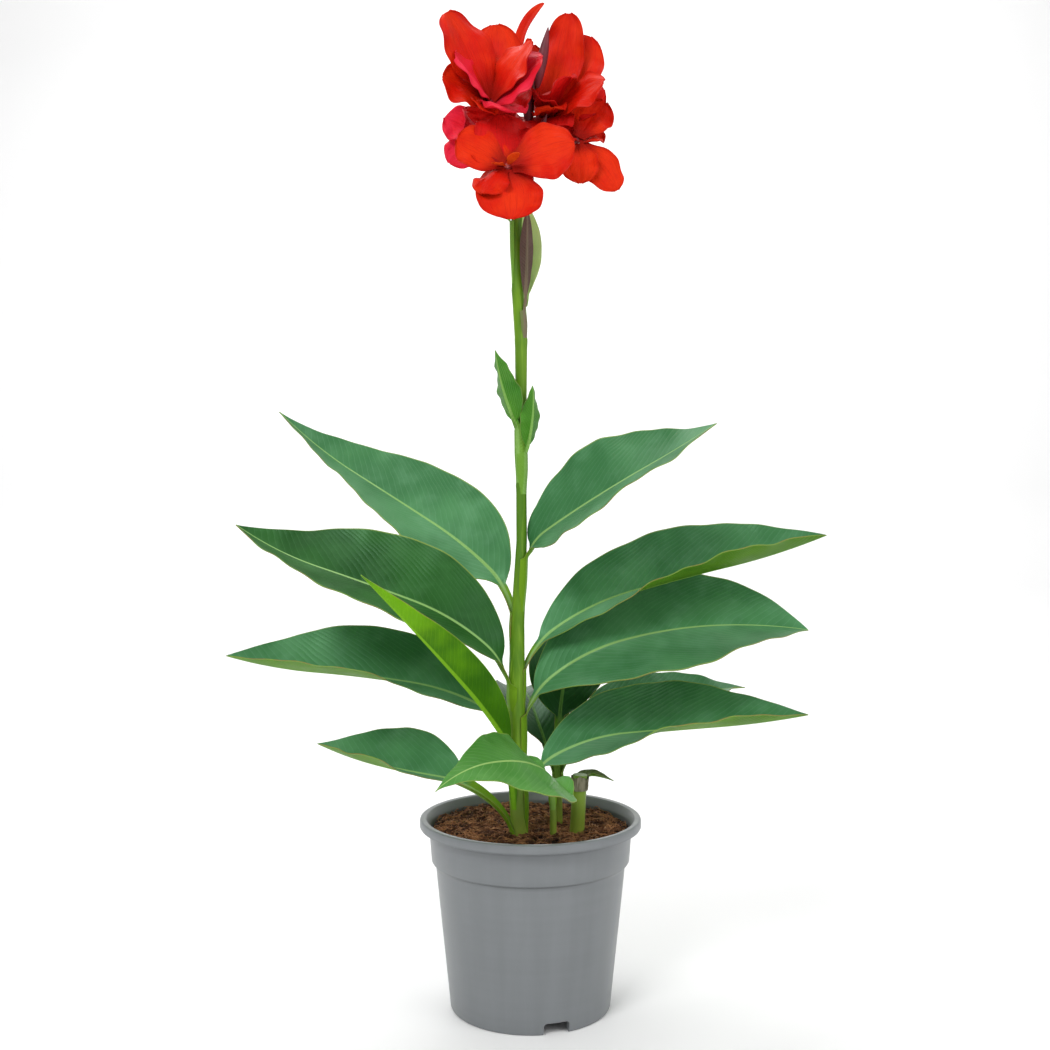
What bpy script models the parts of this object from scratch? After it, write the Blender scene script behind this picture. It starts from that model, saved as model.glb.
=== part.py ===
# Canna lily in a nursery pot: leafy stem, side shoots, red flower head, coir mix and pot.
# Built in metres, +Z up, standing on the pot's foot with the pot's axis at the origin.
import math

import bmesh
import bpy
import numpy as np

MM = 0.001
FIT = 0.3 * MM
SHEATH_GAP = 0.4 * MM

# Pot: a 19 cm nursery pot with a rolled rim, a band under it and three drain notches.
POT_HEIGHT = 163 * MM
RIM_RADIUS = 95 * MM
LIP_DEPTH = 8 * MM
BAND_TOP_RADIUS = 87 * MM
BAND_FOOT_RADIUS = 85 * MM
BAND_FOOT_HEIGHT = 126 * MM
BODY_TOP_RADIUS = 81.5 * MM
FOOT_RADIUS = 69 * MM
POT_WALL = 1.5 * MM
FLOOR_HEIGHT = 6 * MM
FOOT_RING = 7 * MM
POT_SIDES = 72
NOTCH_WIDTH = 22 * MM
NOTCH_HEIGHT = 10 * MM
NOTCH_TURNS = (-72, 48, 168)

# Growing mix inside the pot.
MIX_HEIGHT = 151 * MM
MIX_ROUGHNESS = 1.6 * MM

# Stem: (height, x, y, radius) in millimetres.
STEM_RUN = (
    (131, -9, -27, 7.0),
    (150, -9, -27, 6.6),
    (200, -10, -25, 6.2),
    (267, -11, -22, 5.6),
    (330, -10, -17, 4.6),
    (400, -7, -13, 4.3),
    (480, -8, -11, 4.4),
    (570, -8, -8, 5.4),
    (610, -11, -8, 4.9),
    (670, -12, -6, 4.6),
    (730, -4, -2, 3.6),
    (790, 3, 0, 2.2),
)

# Leaves. Heights and lengths in millimetres, angles in degrees.
# turn and rise: heading and slope at 0, 15, 40, 70 and 100 per cent of the free length.
# left and right: lift of each half of the blade at its base, middle and tip.
LEAVES = {
    "leaf_upper_left": dict(
        sheath=(306, 339, 135, 150), petiole=34, blade=284, width=100, peak=0.36,
        turn=(135, 133, 147, 160, 167), rise=(70, 32, 27, 30, 44),
        left=(-20, -8, 0), right=(50, 48, 35), colour="leaf_green",
    ),
    "leaf_upper_right": dict(
        sheath=(341, 385, -20, 150), petiole=22, blade=178, width=106, peak=0.42,
        turn=(-20, -25, -24, -18, -12), rise=(75, 34, 31, 29, 34),
        left=(60, 55, 30), right=(-40, -22, -15), colour="leaf_green",
    ),
    "leaf_second_left": dict(
        sheath=(258, 278, 210, 130), petiole=30, blade=254, width=108, peak=0.42,
        turn=(205, 184, 173, 168, 166), rise=(80, 42, 20, 17, 33),
        left=(-20, -12, 0), right=(52, 54, 42), colour="leaf_green",
    ),
    "leaf_second_right": dict(
        sheath=(258, 292, 24, 130), petiole=40, blade=253, width=100, peak=0.50,
        turn=(24, 12, 4, 2, 0), rise=(68, 34, 16, 13, 22),
        left=(50, 52, 50), right=(-22, 10, 25), colour="leaf_green",
    ),
    "leaf_third_left": dict(
        sheath=(217, 233, 160, 130), petiole=34, blade=232, width=96, peak=0.48,
        turn=(160, 158, 174, 178, 182), rise=(70, 22, 8, 4, 16),
        left=(-15, 10, 18), right=(50, 55, 48), colour="leaf_green",
    ),
    "leaf_third_right": dict(
        sheath=(205, 253, 0, 130), petiole=30, blade=246, width=124, peak=0.50,
        turn=(0, 4, 8, 10, 12), rise=(75, 38, 14, 1, -9),
        left=(45, 45, 48), right=(-35, -28, -8), colour="leaf_green",
    ),
    "leaf_young_rolled": dict(
        sheath=(176, 215, 238, 60), petiole=16, blade=206, width=46, peak=0.42,
        turn=(238, 228, 221, 214, 208), rise=(72, 50, 45, 45, 45),
        left=(55, 50, 30), right=(50, 50, 30), colour="leaf_young",
    ),
    "leaf_lowest_right": dict(
        sheath=(154, 192, 12, 130), petiole=34, blade=219, width=100, peak=0.46,
        turn=(12, 4, -4, -6, -8), rise=(70, 28, 6, 5, 12),
        left=(42, 42, 34), right=(-32, 8, 22), colour="leaf_green",
    ),
    "leaf_lowest_left": dict(
        sheath=(153, 157, 175, 130), petiole=56, blade=142, width=84, peak=0.44,
        turn=(180, 178, 158, 162, 160), rise=(68, 42, 4, 9, 19),
        left=(0, 18, 22), right=(40, 42, 34), colour="leaf_green",
    ),
}
LAMINA = 0.7 * MM
RIB = 2.2 * MM
SHEATH_THICKNESS = 0.9 * MM
# Side shoots: (height, x, y, radius) in millimetres.
SHOOT_RUNS = {
    "shoot_thin": ((127, 19, -30, 3.0), (170, 19, -30, 2.8), (196, 18, -31, 2.6)),
    "shoot_middle": ((127, 24, 12, 4.2), (190, 24, 13, 3.8), (222, 23, 15, 3.4)),
    "shoot_cut": ((128.5, 38, -18, 6.6), (165, 40, -19, 6.2), (203, 42, -20, 6.0)),
}
COLLAR_TOP = 201
SHOOT_LEAVES = {
    "leaf_front": dict(
        on="shoot_thin", sheath=(176, 190, 270, 130), petiole=20, blade=142, width=80, peak=0.28,
        turn=(270, 258, 232, 216, 194), rise=(70, 30, 20, -2, -42),
        left=(-36, -30, -25), right=(30, 22, 10), colour="leaf_light",
    ),
    "leaf_back_right": dict(
        on="shoot_middle", sheath=(184, 198, 10, 120), petiole=30, blade=190, width=84,
        turn=(10, 28, 31, 30, 30), rise=(70, 34, 12, 6, -3),
        left=(30, 30, 20), right=(-10, 0, 10), colour="leaf_green",
    ),
    "leaf_back_dark": dict(
        on="shoot_middle", sheath=(184, 198, 150, 120), petiole=24, blade=122, width=74,
        turn=(150, 118, 104, 100, 96), rise=(75, 55, 30, 5, -15),
        left=(20, 20, 10), right=(20, 20, 10), colour="leaf_dark",
    ),
    "leaf_back_tall": dict(
        on="shoot_middle", sheath=(204, 219, 66, 180), petiole=26, blade=112, width=70,
        turn=(66, 74, 66, 56, 46), rise=(88, 78, 62, 42, 20),
        left=(30, 20, 10), right=(-10, -10, 0), colour="leaf_dark",
    ),
    "leaf_small_olive": dict(
        on="shoot_cut", sheath=(166, 180, 100, 60), petiole=14, blade=38, width=15,
        turn=(100, 90, 40, 5, 0), rise=(62, 70, 24, -14, -24),
        left=(25, 20, 10), right=(10, 10, 5), colour="leaf_olive",
    ),
}

# Leaf that wraps the flower stalk half way up, and the bracts at the fork.
STALK_LEAVES = {
    "leaf_twisted": dict(
        sheath=(448, 494, 225, 170), petiole=8, blade=60, width=26, peak=0.45,
        turn=(225, 205, 196, 190, 186), rise=(66, 62, 68, 74, 76),
        left=(20, 22, 20), right=(20, 22, 20), colour="stem_green",
    ),
    "bract_green": dict(
        sheath=(618, 670, 185, 130), petiole=4, blade=18, width=12, peak=0.42,
        turn=(185, 185, 185, 185, 185), rise=(82, 82, 84, 84, 84),
        left=(20, 16, 10), right=(20, 16, 10), colour="stem_green",
    ),
    "bract_pale": dict(
        sheath=(572, 598, 72, 76), petiole=8, blade=74, width=18, peak=0.5,
        turn=(66, 50, 30, 16, 10), rise=(76, 80, 86, 90, 94),
        left=(20, 16, 10), right=(20, 16, 10), colour="bract_pale",
    ),
    "bract_purple": dict(
        sheath=(570, 594, -42, 70), petiole=8, blade=72, width=13, peak=0.5,
        turn=(-42, -36, -26, -20, -16), rise=(80, 84, 88, 90, 91),
        left=(20, 16, 10), right=(20, 16, 10), colour="bract_purple",
    ),
}

# Rhizome: (x, y, height, radius) in millimetres, with thick roots under it.
RHIZOME_RUN = (
    (-26, -30, 112, 7),
    (-18, -29, 113, 12),
    (-6, -26, 114, 14.5),
    (8, -22, 114, 12.5),
    (22, -16, 115, 12.5),
    (36, -14, 115, 11.5),
    (48, -12, 116, 8.5),
    (54, -11, 117, 4.5),
)
RHIZOME_LOBES = (
    ((14, -22, 114, 9), (17, -27, 115, 9), (19, -30, 116, 7.5)),
    ((22, -12, 114, 10), (24, 2, 115, 10), (24, 13, 116, 8.0)),
)
ROOT_RADIUS = 1.6 * MM
ROOTS = ((-14, -28, 200, 62), (-4, -26, 300, 70), (10, -20, 80, 66), (26, -16, 330, 60), (40, -14, 30, 64))

# Flowers: throat (x, y, height) and the place on the head's axis each tube grows from.
# petals: heading, slope at base and tip, length, full width, roll, fold.
FLOWERS = {
    "flower_top_left": dict(
        foot=738, throat=(-33, -30, 763), colour="petal_red",
        petals=(
            (202, 66, 56, 76, 46, -66, 10),
            (84, 54, 88, 76, 44, -4, 10),
            (-32, 50, 44, 56, 44, 60, 8),
            (212, 20, 14, 44, 38, -64, 8),
            (256, -16, -34, 28, 22, -30, 6),
        ),
    ),
    "flower_right": dict(
        foot=746, throat=(14, 9, 762), colour="petal_red",
        petals=(
            (14, 62, 66, 78, 48, 66, 8),
            (-36, 24, 16, 58, 34, 60, 8),
            (134, 68, 82, 66, 38, 0, 8),
            (-84, 4, -10, 32, 26, 10, 8),
        ),
    ),
    "flower_front": dict(
        foot=698, throat=(-19, -50, 706), colour="petal_red",
        petals=(
            (194, 28, 24, 43, 36, -70, 6),
            (-10, 20, 12, 54, 44, 72, 6),
            (278, -60, -80, 46, 48, 0, 6),
            (226, -26, -62, 36, 26, -30, -14),
        ),
    ),
    "flower_left": dict(
        foot=722, throat=(-38, -4, 740), colour="petal_pink",
        petals=(
            (174, 34, 26, 37, 32, -66, 8),
            (186, -26, -42, 34, 30, -66, 8),
            (100, 24, 20, 28, 22, 0, 8),
        ),
    ),
    "flower_lower_right": dict(
        foot=712, throat=(39, -8, 738), colour="petal_red",
        petals=(
            (8, 58, 50, 38, 32, 68, 8),
            (-12, -46, -58, 52, 28, 68, 6),
            (-78, -60, -84, 38, 28, 20, 6),
        ),
    ),
}
CLAW = 3.3 * MM
PETAL_THICKNESS = 0.8 * MM
BUDS = {
    "bud_tall": (784, 330, 78, 50, 4.4, "bud_purple"),
    "bud_middle": (752, 262, 76, 46, 4.8, "bud_purple"),
    "bud_low": (722, 320, 62, 40, 4.2, "bud_purple"),
}
# A thin dried petal that curls over at the very top: height it leaves the stalk at, then as a petal.
CURL_FOOT = 786
CURL_SPEC = (-10, 126, 34, 78, 7, 0, 20)
FRONT_STAMENS = {
    "flower_front_stamen": (292, 24, 4, 20, 8, 0, 10),
    "flower_front_style": (232, 4, -10, 16, 6, 0, 10),
}

COLOURS = {
    "pot_grey": ((0.21, 0.225, 0.235), 0.45),
    "coir_brown": ((0.055, 0.018, 0.010), 0.95),
    "rhizome_tan": ((0.32, 0.22, 0.12), 0.85),
    "stem_green": ((0.22, 0.38, 0.05), 0.45),
    "dry_grey": ((0.30, 0.26, 0.20), 0.9),
    "leaf_green": ((0.045, 0.16, 0.055), 0.4),
    "leaf_dark": ((0.02, 0.09, 0.035), 0.4),
    "leaf_light": ((0.13, 0.30, 0.09), 0.4),
    "leaf_young": ((0.22, 0.48, 0.03), 0.4),
    "leaf_olive": ((0.14, 0.17, 0.05), 0.5),
    "bract_pale": ((0.36, 0.55, 0.20), 0.5),
    "bract_purple": ((0.13, 0.06, 0.07), 0.6),
    "bud_purple": ((0.12, 0.02, 0.035), 0.6),
    "petal_red": ((0.75, 0.018, 0.010), 0.5),
    "petal_pink": ((0.78, 0.022, 0.045), 0.5),
    "stamen_orange": ((0.75, 0.12, 0.012), 0.5),
    "calyx_red": ((0.30, 0.03, 0.03), 0.5),
}


def clear_scene():
    for old in list(bpy.data.objects):
        bpy.data.objects.remove(old, do_unlink=True)


def material(name):
    found = bpy.data.materials.get(name)
    if found:
        return found
    colour, roughness = COLOURS[name]
    made = bpy.data.materials.new(name)
    made.use_nodes = True
    shader = made.node_tree.nodes["Principled BSDF"]
    shader.inputs["Base Color"].default_value = (*colour, 1.0)
    shader.inputs["Roughness"].default_value = roughness
    return made


def add_body(name, verts, faces, colour):
    mesh = bpy.data.meshes.new(name)
    mesh.from_pydata([tuple(v) for v in verts], [], faces)
    work = bmesh.new()
    work.from_mesh(mesh)
    bmesh.ops.recalc_face_normals(work, faces=work.faces)
    if work.calc_volume(signed=True) < 0:
        bmesh.ops.reverse_faces(work, faces=work.faces)
    work.to_mesh(mesh)
    work.free()
    body = bpy.data.objects.new(name, mesh)
    bpy.context.scene.collection.objects.link(body)
    if colour:
        mesh.materials.append(material(colour))
    return body


def unit(v):
    return v / np.linalg.norm(v)


def heading(turn, rise):
    a = math.radians(turn)
    e = math.radians(rise)
    return np.array((math.cos(e) * math.cos(a), math.cos(e) * math.sin(a), math.sin(e)))


def upward(turn, rise):
    a = math.radians(turn)
    e = math.radians(rise)
    return np.array((-math.sin(e) * math.cos(a), -math.sin(e) * math.sin(a), math.cos(e)))


def sideways(turn):
    a = math.radians(turn)
    return np.array((-math.sin(a), math.cos(a), 0.0))


def run_at(run, height):
    """Centre and radius of a stem at a height in millimetres."""
    heights = [p[0] for p in run]
    x = np.interp(height, heights, [p[1] for p in run])
    y = np.interp(height, heights, [p[2] for p in run])
    r = np.interp(height, heights, [p[3] for p in run])
    return np.array((x, y, height)) * MM, r * MM


def turned(name, profile, colour, sides):
    """Body of revolution from a line of (radius, height) that starts and ends on the axis."""
    verts = [(0, 0, profile[0][1]), (0, 0, profile[-1][1])]
    faces = []
    rings = profile[1:-1]
    count = len(rings)
    for k in range(sides):
        a = 2 * math.pi * k / sides
        for r, z in rings:
            verts.append((r * math.cos(a), r * math.sin(a), z))
    for k in range(sides):
        here = 2 + k * count
        there = 2 + ((k + 1) % sides) * count
        for j in range(count - 1):
            faces.append((here + j, there + j, there + j + 1, here + j + 1))
        faces.append((0, there, here))
        faces.append((1, here + count - 1, there + count - 1))
    return add_body(name, verts, faces, colour)


def mark_cutter(body, cutter):
    if cutter:
        body.hide_render = True
        body.display_type = "WIRE"


def tube(name, points, radii, colour, sides=14, cutter=False):
    """Solid rod along points, its ends closed by a low dome."""
    points = [np.array(p, float) for p in points]
    verts = []
    faces = []
    rings = []
    side = None
    for i, (p, r) in enumerate(zip(points, radii)):
        ahead = points[min(i + 1, len(points) - 1)]
        behind = points[max(i - 1, 0)]
        along = unit(ahead - behind)
        if side is None:
            guess = np.array((1.0, 0, 0)) if abs(along[0]) < 0.8 else np.array((0, 1.0, 0))
            side = unit(np.cross(along, guess))
        side = unit(side - along * np.dot(side, along))
        other = np.cross(along, side)
        rings.append(len(verts))
        for k in range(sides):
            a = 2 * math.pi * k / sides
            verts.append(p + r * (math.cos(a) * side + math.sin(a) * other))
    for a, b in zip(rings, rings[1:]):
        for k in range(sides):
            n = (k + 1) % sides
            faces.append((a + k, a + n, b + n, b + k))
    verts.append(points[0] - unit(points[1] - points[0]) * radii[0] * 0.3)
    verts.append(points[-1] + unit(points[-1] - points[-2]) * radii[-1] * 0.3)
    for k in range(sides):
        n = (k + 1) % sides
        faces.append((rings[0] + n, rings[0] + k, len(verts) - 2))
        faces.append((rings[-1] + k, rings[-1] + n, len(verts) - 1))
    body = add_body(name, verts, faces, colour)
    mark_cutter(body, cutter)
    return body


def stem_rod(name, run, colour, grow=0.0, cutter=False, low=None, high=None, sides=16):
    """Rod that follows a stem's run, every 20 mm or at its named heights."""
    low = run[0][0] if low is None else low
    high = run[-1][0] if high is None else high
    steps = max(2, int(round((high - low) / 24)))
    points = []
    radii = []
    for i in range(steps + 1):
        centre, r = run_at(run, low + (high - low) * i / steps)
        points.append(centre)
        radii.append(r + grow)
    return tube(name, points, radii, colour, sides, cutter)


def sheet(name, stations, columns, colour):
    """Closed sheet swept along stations: top face, under face and its edges."""
    top = []
    under = []
    for s in stations:
        row_top = {0: s["centre"]}
        row_under = {0: s["centre"] - s["normal"] * s["rib"]}
        for sign, lift, cup in ((1, s["left"], s["cup_left"]), (-1, s["right"], s["cup_right"])):
            point = s["centre"].copy()
            step = s["half"] / columns
            for j in range(1, columns + 1):
                middle = (j - 0.5) / columns
                bend = lift + cup * middle + math.degrees(middle * s["half"] * s["curl"])
                c = math.cos(math.radians(bend))
                n = math.sin(math.radians(bend))
                point = point + (c * sign * s["side"] + n * s["normal"]) * step
                out = -n * sign * s["side"] + c * s["normal"]
                row_top[sign * j] = point
                row_under[sign * j] = point - out * s["thick"]
        order = range(-columns, columns + 1)
        top.append([row_top[j] for j in order])
        under.append([row_under[j] for j in order])
    rows = len(stations)
    width = 2 * columns + 1
    verts = [p for row in top for p in row] + [p for row in under for p in row]
    below = rows * width
    faces = []
    for i in range(rows - 1):
        for j in range(width - 1):
            a = i * width + j
            b = a + width
            faces.append((a, a + 1, b + 1, b))
            faces.append((below + a, below + b, below + b + 1, below + a + 1))
        a = i * width
        b = a + width
        faces.append((a, b, below + b, below + a))
        a = i * width + width - 1
        b = a + width
        faces.append((a, below + a, below + b, b))
    for j in range(width - 1):
        a = j
        faces.append((a, below + a, below + a + 1, a + 1))
        a = (rows - 1) * width + j
        faces.append((a, a + 1, below + a + 1, below + a))
    return add_body(name, verts, faces, colour)


def blade_outline(u, peak=0.42):
    """Half width of a leaf blade along its length, 1 at the widest place."""
    u = min(max(u, 0.0), 1.0)
    rise = 1.9 * peak
    fall = 1.9 * (1 - peak)
    top = (peak ** rise) * ((1 - peak) ** fall)
    return (u ** rise) * ((1 - u) ** fall) / top


def smooth(t):
    t = min(max(t, 0.0), 1.0)
    return t * t * (3 - 2 * t)


def leaf(name, spec, run, columns=3, blade_rows=13):
    """One leaf: sheath round its stem, petiole and blade in a single piece."""
    low, high, facing, wrap = spec["sheath"]
    stations = []
    sheath_rows = max(2, int(round((high - low) / 16)))
    for i in range(sheath_rows + 1):
        centre, radius = run_at(run, low + (high - low) * i / sheath_rows)
        radius = radius + SHEATH_GAP
        opening = 0.62 + 0.38 * smooth(i / sheath_rows * 2)
        stations.append(dict(
            centre=centre + radius * heading(facing, 0),
            normal=-heading(facing, 0),
            side=sideways(facing),
            half=math.radians(wrap) / 2 * radius * opening,
            curl=1 / radius,
            left=0.0, right=0.0, cup_left=0.0, cup_right=0.0,
            rib=SHEATH_THICKNESS, thick=SHEATH_THICKNESS,
        ))
    last = stations[-1]
    point = last["centre"].copy()
    petiole = spec["petiole"] * MM
    blade = spec["blade"] * MM
    free = petiole + blade
    knots = (0.0, 0.15, 0.40, 0.70, 1.0)
    marks = [petiole * 0.4, petiole] + [petiole + blade * (i / blade_rows) for i in range(1, blade_rows)]
    marks.append(free * 0.998)
    travelled = 0.0
    for mark in marks:
        pieces = 6
        for k in range(pieces):
            mid = travelled + (mark - travelled) * (k + 0.5) / pieces
            turn = np.interp(mid / free, knots, spec["turn"])
            rise = np.interp(mid / free, knots, spec["rise"])
            point = point + heading(turn, rise) * (mark - travelled) / pieces
        travelled = mark
        turn = np.interp(mark / free, knots, spec["turn"])
        rise = np.interp(mark / free, knots, spec["rise"])
        u = (mark - petiole) / blade
        flat = smooth((mark / petiole) * 0.5 + max(u, 0) * 4)
        grow = blade_outline(u, spec.get("peak", 0.42)) * spec["width"] * MM / 2
        neck = 4.2 * MM * min(1.0, spec["width"] / 40) * (1 - max(u, 0)) ** 2
        stations.append(dict(
            centre=point.copy(),
            normal=upward(turn, rise),
            side=sideways(turn),
            half=max(grow, neck, 0.9 * MM),
            curl=last["curl"] * (1 - flat) * 0.8,
            left=np.interp(u, (0, 0.5, 1), spec["left"]) * flat,
            right=np.interp(u, (0, 0.5, 1), spec["right"]) * flat,
            cup_left=spec.get("cup", 10) * flat,
            cup_right=spec.get("cup", 10) * flat,
            rib=LAMINA + (RIB - LAMINA) * (1 - max(u, 0)) * smooth(mark / petiole),
            thick=LAMINA,
        ))
    return sheet(name, stations, columns, spec["colour"])


def petal_outline(u):
    """Petal half width: a narrow claw that opens to a broad rounded limb."""
    claw = 0.12 + 0.88 * smooth((u - 0.05) / 0.6)
    tip = math.sqrt(max(0.0, 1 - max(0.0, (u - 0.62) / 0.385) ** 2))
    return claw * tip


def petal(name, foot, spec, colour, rows=8, columns=2):
    turn, rise_base, rise_tip, length, width, roll, fold = spec
    length = length * MM
    point = foot.copy()
    stations = []
    travelled = 0.0
    for i in range(rows + 1):
        u = i / rows
        mark = length * u
        rise = rise_base + (rise_tip - rise_base) * (u + travelled / length) / 2
        point = point + heading(turn, rise) * (mark - travelled)
        travelled = mark
        rise = rise_base + (rise_tip - rise_base) * u
        normal = upward(turn, rise)
        side = sideways(turn)
        c = math.cos(math.radians(roll))
        s = math.sin(math.radians(roll))
        wave = 7 * math.sin(u * 7 + turn)
        stations.append(dict(
            centre=point.copy(),
            normal=normal * c - side * s,
            side=side * c + normal * s,
            half=max(petal_outline(u) * width * MM / 2, 1.3 * MM),
            curl=0.0,
            left=fold + wave * u, right=fold - wave * u, cup_left=-14 * u, cup_right=-14 * u,
            rib=PETAL_THICKNESS, thick=PETAL_THICKNESS,
        ))
    return sheet(name, stations, columns, colour)


def join_exact(first, others):
    """Union of several bodies into the first one."""
    for i, other in enumerate(others):
        step = first.modifiers.new(f"join_{i}", "BOOLEAN")
        step.operation = "UNION"
        step.solver = "EXACT"
        step.object = other
    return first


def cut_exact(body, cutters):
    for i, cutter in enumerate(cutters):
        step = body.modifiers.new(f"cut_{i}", "BOOLEAN")
        step.operation = "DIFFERENCE"
        step.solver = "EXACT"
        step.object = cutter


def make_pot():
    t = POT_WALL
    rim = RIM_RADIUS
    top = POT_HEIGHT
    step = BAND_FOOT_HEIGHT
    body = [
        (0.0, FLOOR_HEIGHT - 2 * MM),
        (FOOT_RADIUS - FOOT_RING - 2 * MM, FLOOR_HEIGHT - 2 * MM),
        (FOOT_RADIUS - FOOT_RING, 0.0),
        (FOOT_RADIUS - 2 * MM, 0.0),
        (FOOT_RADIUS, 2 * MM),
        (BODY_TOP_RADIUS, step - 1 * MM),
        (BAND_FOOT_RADIUS, step + 1.5 * MM),
        (BAND_TOP_RADIUS, top - LIP_DEPTH - 1 * MM),
        (rim - 1.5 * MM, top - LIP_DEPTH),
        (rim, top - LIP_DEPTH + 2 * MM),
        (rim, top - 2 * MM),
        (rim - 2 * MM, top),
        (rim - 5.5 * MM, top),
        (BAND_TOP_RADIUS - t, top - LIP_DEPTH + 1 * MM),
        (BAND_FOOT_RADIUS - t, step + 2.5 * MM),
        (BODY_TOP_RADIUS - t, step - 1 * MM),
        (FOOT_RADIUS - t + 0.6 * MM, FLOOR_HEIGHT),
        (0.0, FLOOR_HEIGHT),
    ]
    pot = turned("pot", body, "pot_grey", POT_SIDES)
    cutters = []
    for i, turn in enumerate(NOTCH_TURNS):
        centre = heading(turn, 0) * (FOOT_RADIUS - 3 * MM)
        verts = []
        for dz in (-3 * MM, NOTCH_HEIGHT):
            for du, dv in ((-9 * MM, -1), (8 * MM, -1), (8 * MM, 1), (-9 * MM, 1)):
                verts.append(centre + heading(turn, 0) * du + sideways(turn) * dv * NOTCH_WIDTH / 2
                             + np.array((0, 0, dz)))
        faces = [(0, 1, 2, 3), (4, 5, 6, 7), (0, 1, 5, 4), (1, 2, 6, 5), (2, 3, 7, 6), (3, 0, 4, 7)]
        cutter = add_body(f"notch_cutter_{i}", verts, faces, None)
        mark_cutter(cutter, True)
        cutters.append(cutter)
    cut_exact(pot, cutters)
    return pot


def inner_wall(height):
    """Inside radius of the pot at a height in metres."""
    heights = (FLOOR_HEIGHT, BAND_FOOT_HEIGHT - 1 * MM, BAND_FOOT_HEIGHT + 2.5 * MM,
               POT_HEIGHT - LIP_DEPTH + 1 * MM)
    radii = (FOOT_RADIUS + 0.6 * MM, BODY_TOP_RADIUS, BAND_FOOT_RADIUS, BAND_TOP_RADIUS)
    return np.interp(height, heights, radii) - POT_WALL


def make_mix(cutters):
    """Growing mix: fills the pot to a slightly uneven top, with room for stems and rhizome."""
    sides = 48
    side_heights = (FLOOR_HEIGHT + FIT, BAND_FOOT_HEIGHT - 1 * MM, BAND_FOOT_HEIGHT + 2.5 * MM, MIX_HEIGHT - 2 * MM)
    shares = (0.94, 0.80, 0.60, 0.38, 0.16)
    rows = [(inner_wall(z) - FIT, z, 0.0) for z in side_heights]
    rows += [(inner_wall(MIX_HEIGHT) * s, MIX_HEIGHT, 1.0) for s in shares]
    verts = []
    faces = []
    for r, z, rough in rows:
        for k in range(sides):
            a = 2 * math.pi * k / sides
            x = r * math.cos(a)
            y = r * math.sin(a)
            bump = math.sin(x * 160 + 1) * math.cos(y * 190) + 0.6 * math.sin(x * 330 + y * 270)
            verts.append((x, y, z + rough * MIX_ROUGHNESS * 0.6 * bump))
    for i in range(len(rows) - 1):
        for k in range(sides):
            n = (k + 1) % sides
            faces.append((i * sides + k, i * sides + n, (i + 1) * sides + n, (i + 1) * sides + k))
    verts.append((0, 0, rows[0][1]))
    verts.append((0, 0, MIX_HEIGHT))
    last = (len(rows) - 1) * sides
    for k in range(sides):
        n = (k + 1) % sides
        faces.append((n, k, len(verts) - 2))
        faces.append((last + k, last + n, len(verts) - 1))
    mix = add_body("potting_mix", verts, faces, "coir_brown")
    cut_exact(mix, cutters)
    return mix


def rhizome_rods(prefix, grow, cutter):
    """The rhizome's main body, its side lobes and its roots as overlapping rods."""
    rods = []
    runs = [RHIZOME_RUN] + list(RHIZOME_LOBES)
    for i, run in enumerate(runs):
        points = [np.array(p[:3]) * MM for p in run]
        radii = [p[3] * MM + grow for p in run]
        rods.append(tube(f"{prefix}_lobe_{i}", points, radii, "rhizome_tan", 14, cutter))
    for i, (x, y, turn, length) in enumerate(ROOTS):
        start = np.array((x, y, 106)) * MM
        points = []
        for k in range(4):
            t = k / 3
            slope = -30 - 34 * t
            points.append(start + heading(turn + 20 * t, slope) * length * t * MM)
        radii = [ROOT_RADIUS * (1.25 - 0.5 * k / 3) + grow for k in range(4)]
        rods.append(tube(f"{prefix}_root_{i}", points, radii, "rhizome_tan", 8, cutter))
    return rods


def make_rhizome():
    rods = rhizome_rods("rhizome_join", 0.0, False)
    first = rods[0]
    first.name = "rhizome"
    for rod in rods[1:]:
        mark_cutter(rod, True)
    join_exact(first, rods[1:])
    return first


def off_stem(height, facing, start_radius):
    """Point beside the flower stalk where a tube or bud of that radius can start."""
    centre, radius = run_at(STEM_RUN, height)
    return centre + heading(facing, 0) * (radius + start_radius + FIT)


def make_flower(name, spec):
    throat = np.array(spec["throat"]) * MM
    centre, radius = run_at(STEM_RUN, spec["foot"])
    away = unit(throat - centre)
    flat = math.hypot(away[0], away[1])
    reach = max(0.6 * MM * flat, 1.9 * MM * abs(away[2]))
    start = centre + away * (radius + reach + FIT + 0.08 * MM) / flat
    span = throat - start
    points = [start, start + span * 0.25, start + span * 0.6, throat, throat + unit(span) * 1.8 * MM]
    tube(f"{name}_tube", points, [1.9 * MM, 3.4 * MM, 2.3 * MM, 2.7 * MM, 2.0 * MM], "calyx_red", 10)
    for i, petal_spec in enumerate(spec["petals"]):
        foot = throat + heading(petal_spec[0], petal_spec[1]) * CLAW
        petal(f"{name}_petal_{i + 1}", foot, petal_spec, spec["colour"])


def make_bud(name, spec):
    height, facing, rise, length, radius, colour = spec
    start = off_stem(height, facing, 1.4 * MM)
    along = heading(facing, rise)
    shares = (0.0, 0.2, 0.5, 0.8, 1.0)
    sizes = (1.4 / radius, 0.8, 1.0, 0.6, 0.12)
    points = [start + along * length * MM * s for s in shares]
    tube(name, points, [radius * MM * s for s in sizes], colour, 10)


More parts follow.
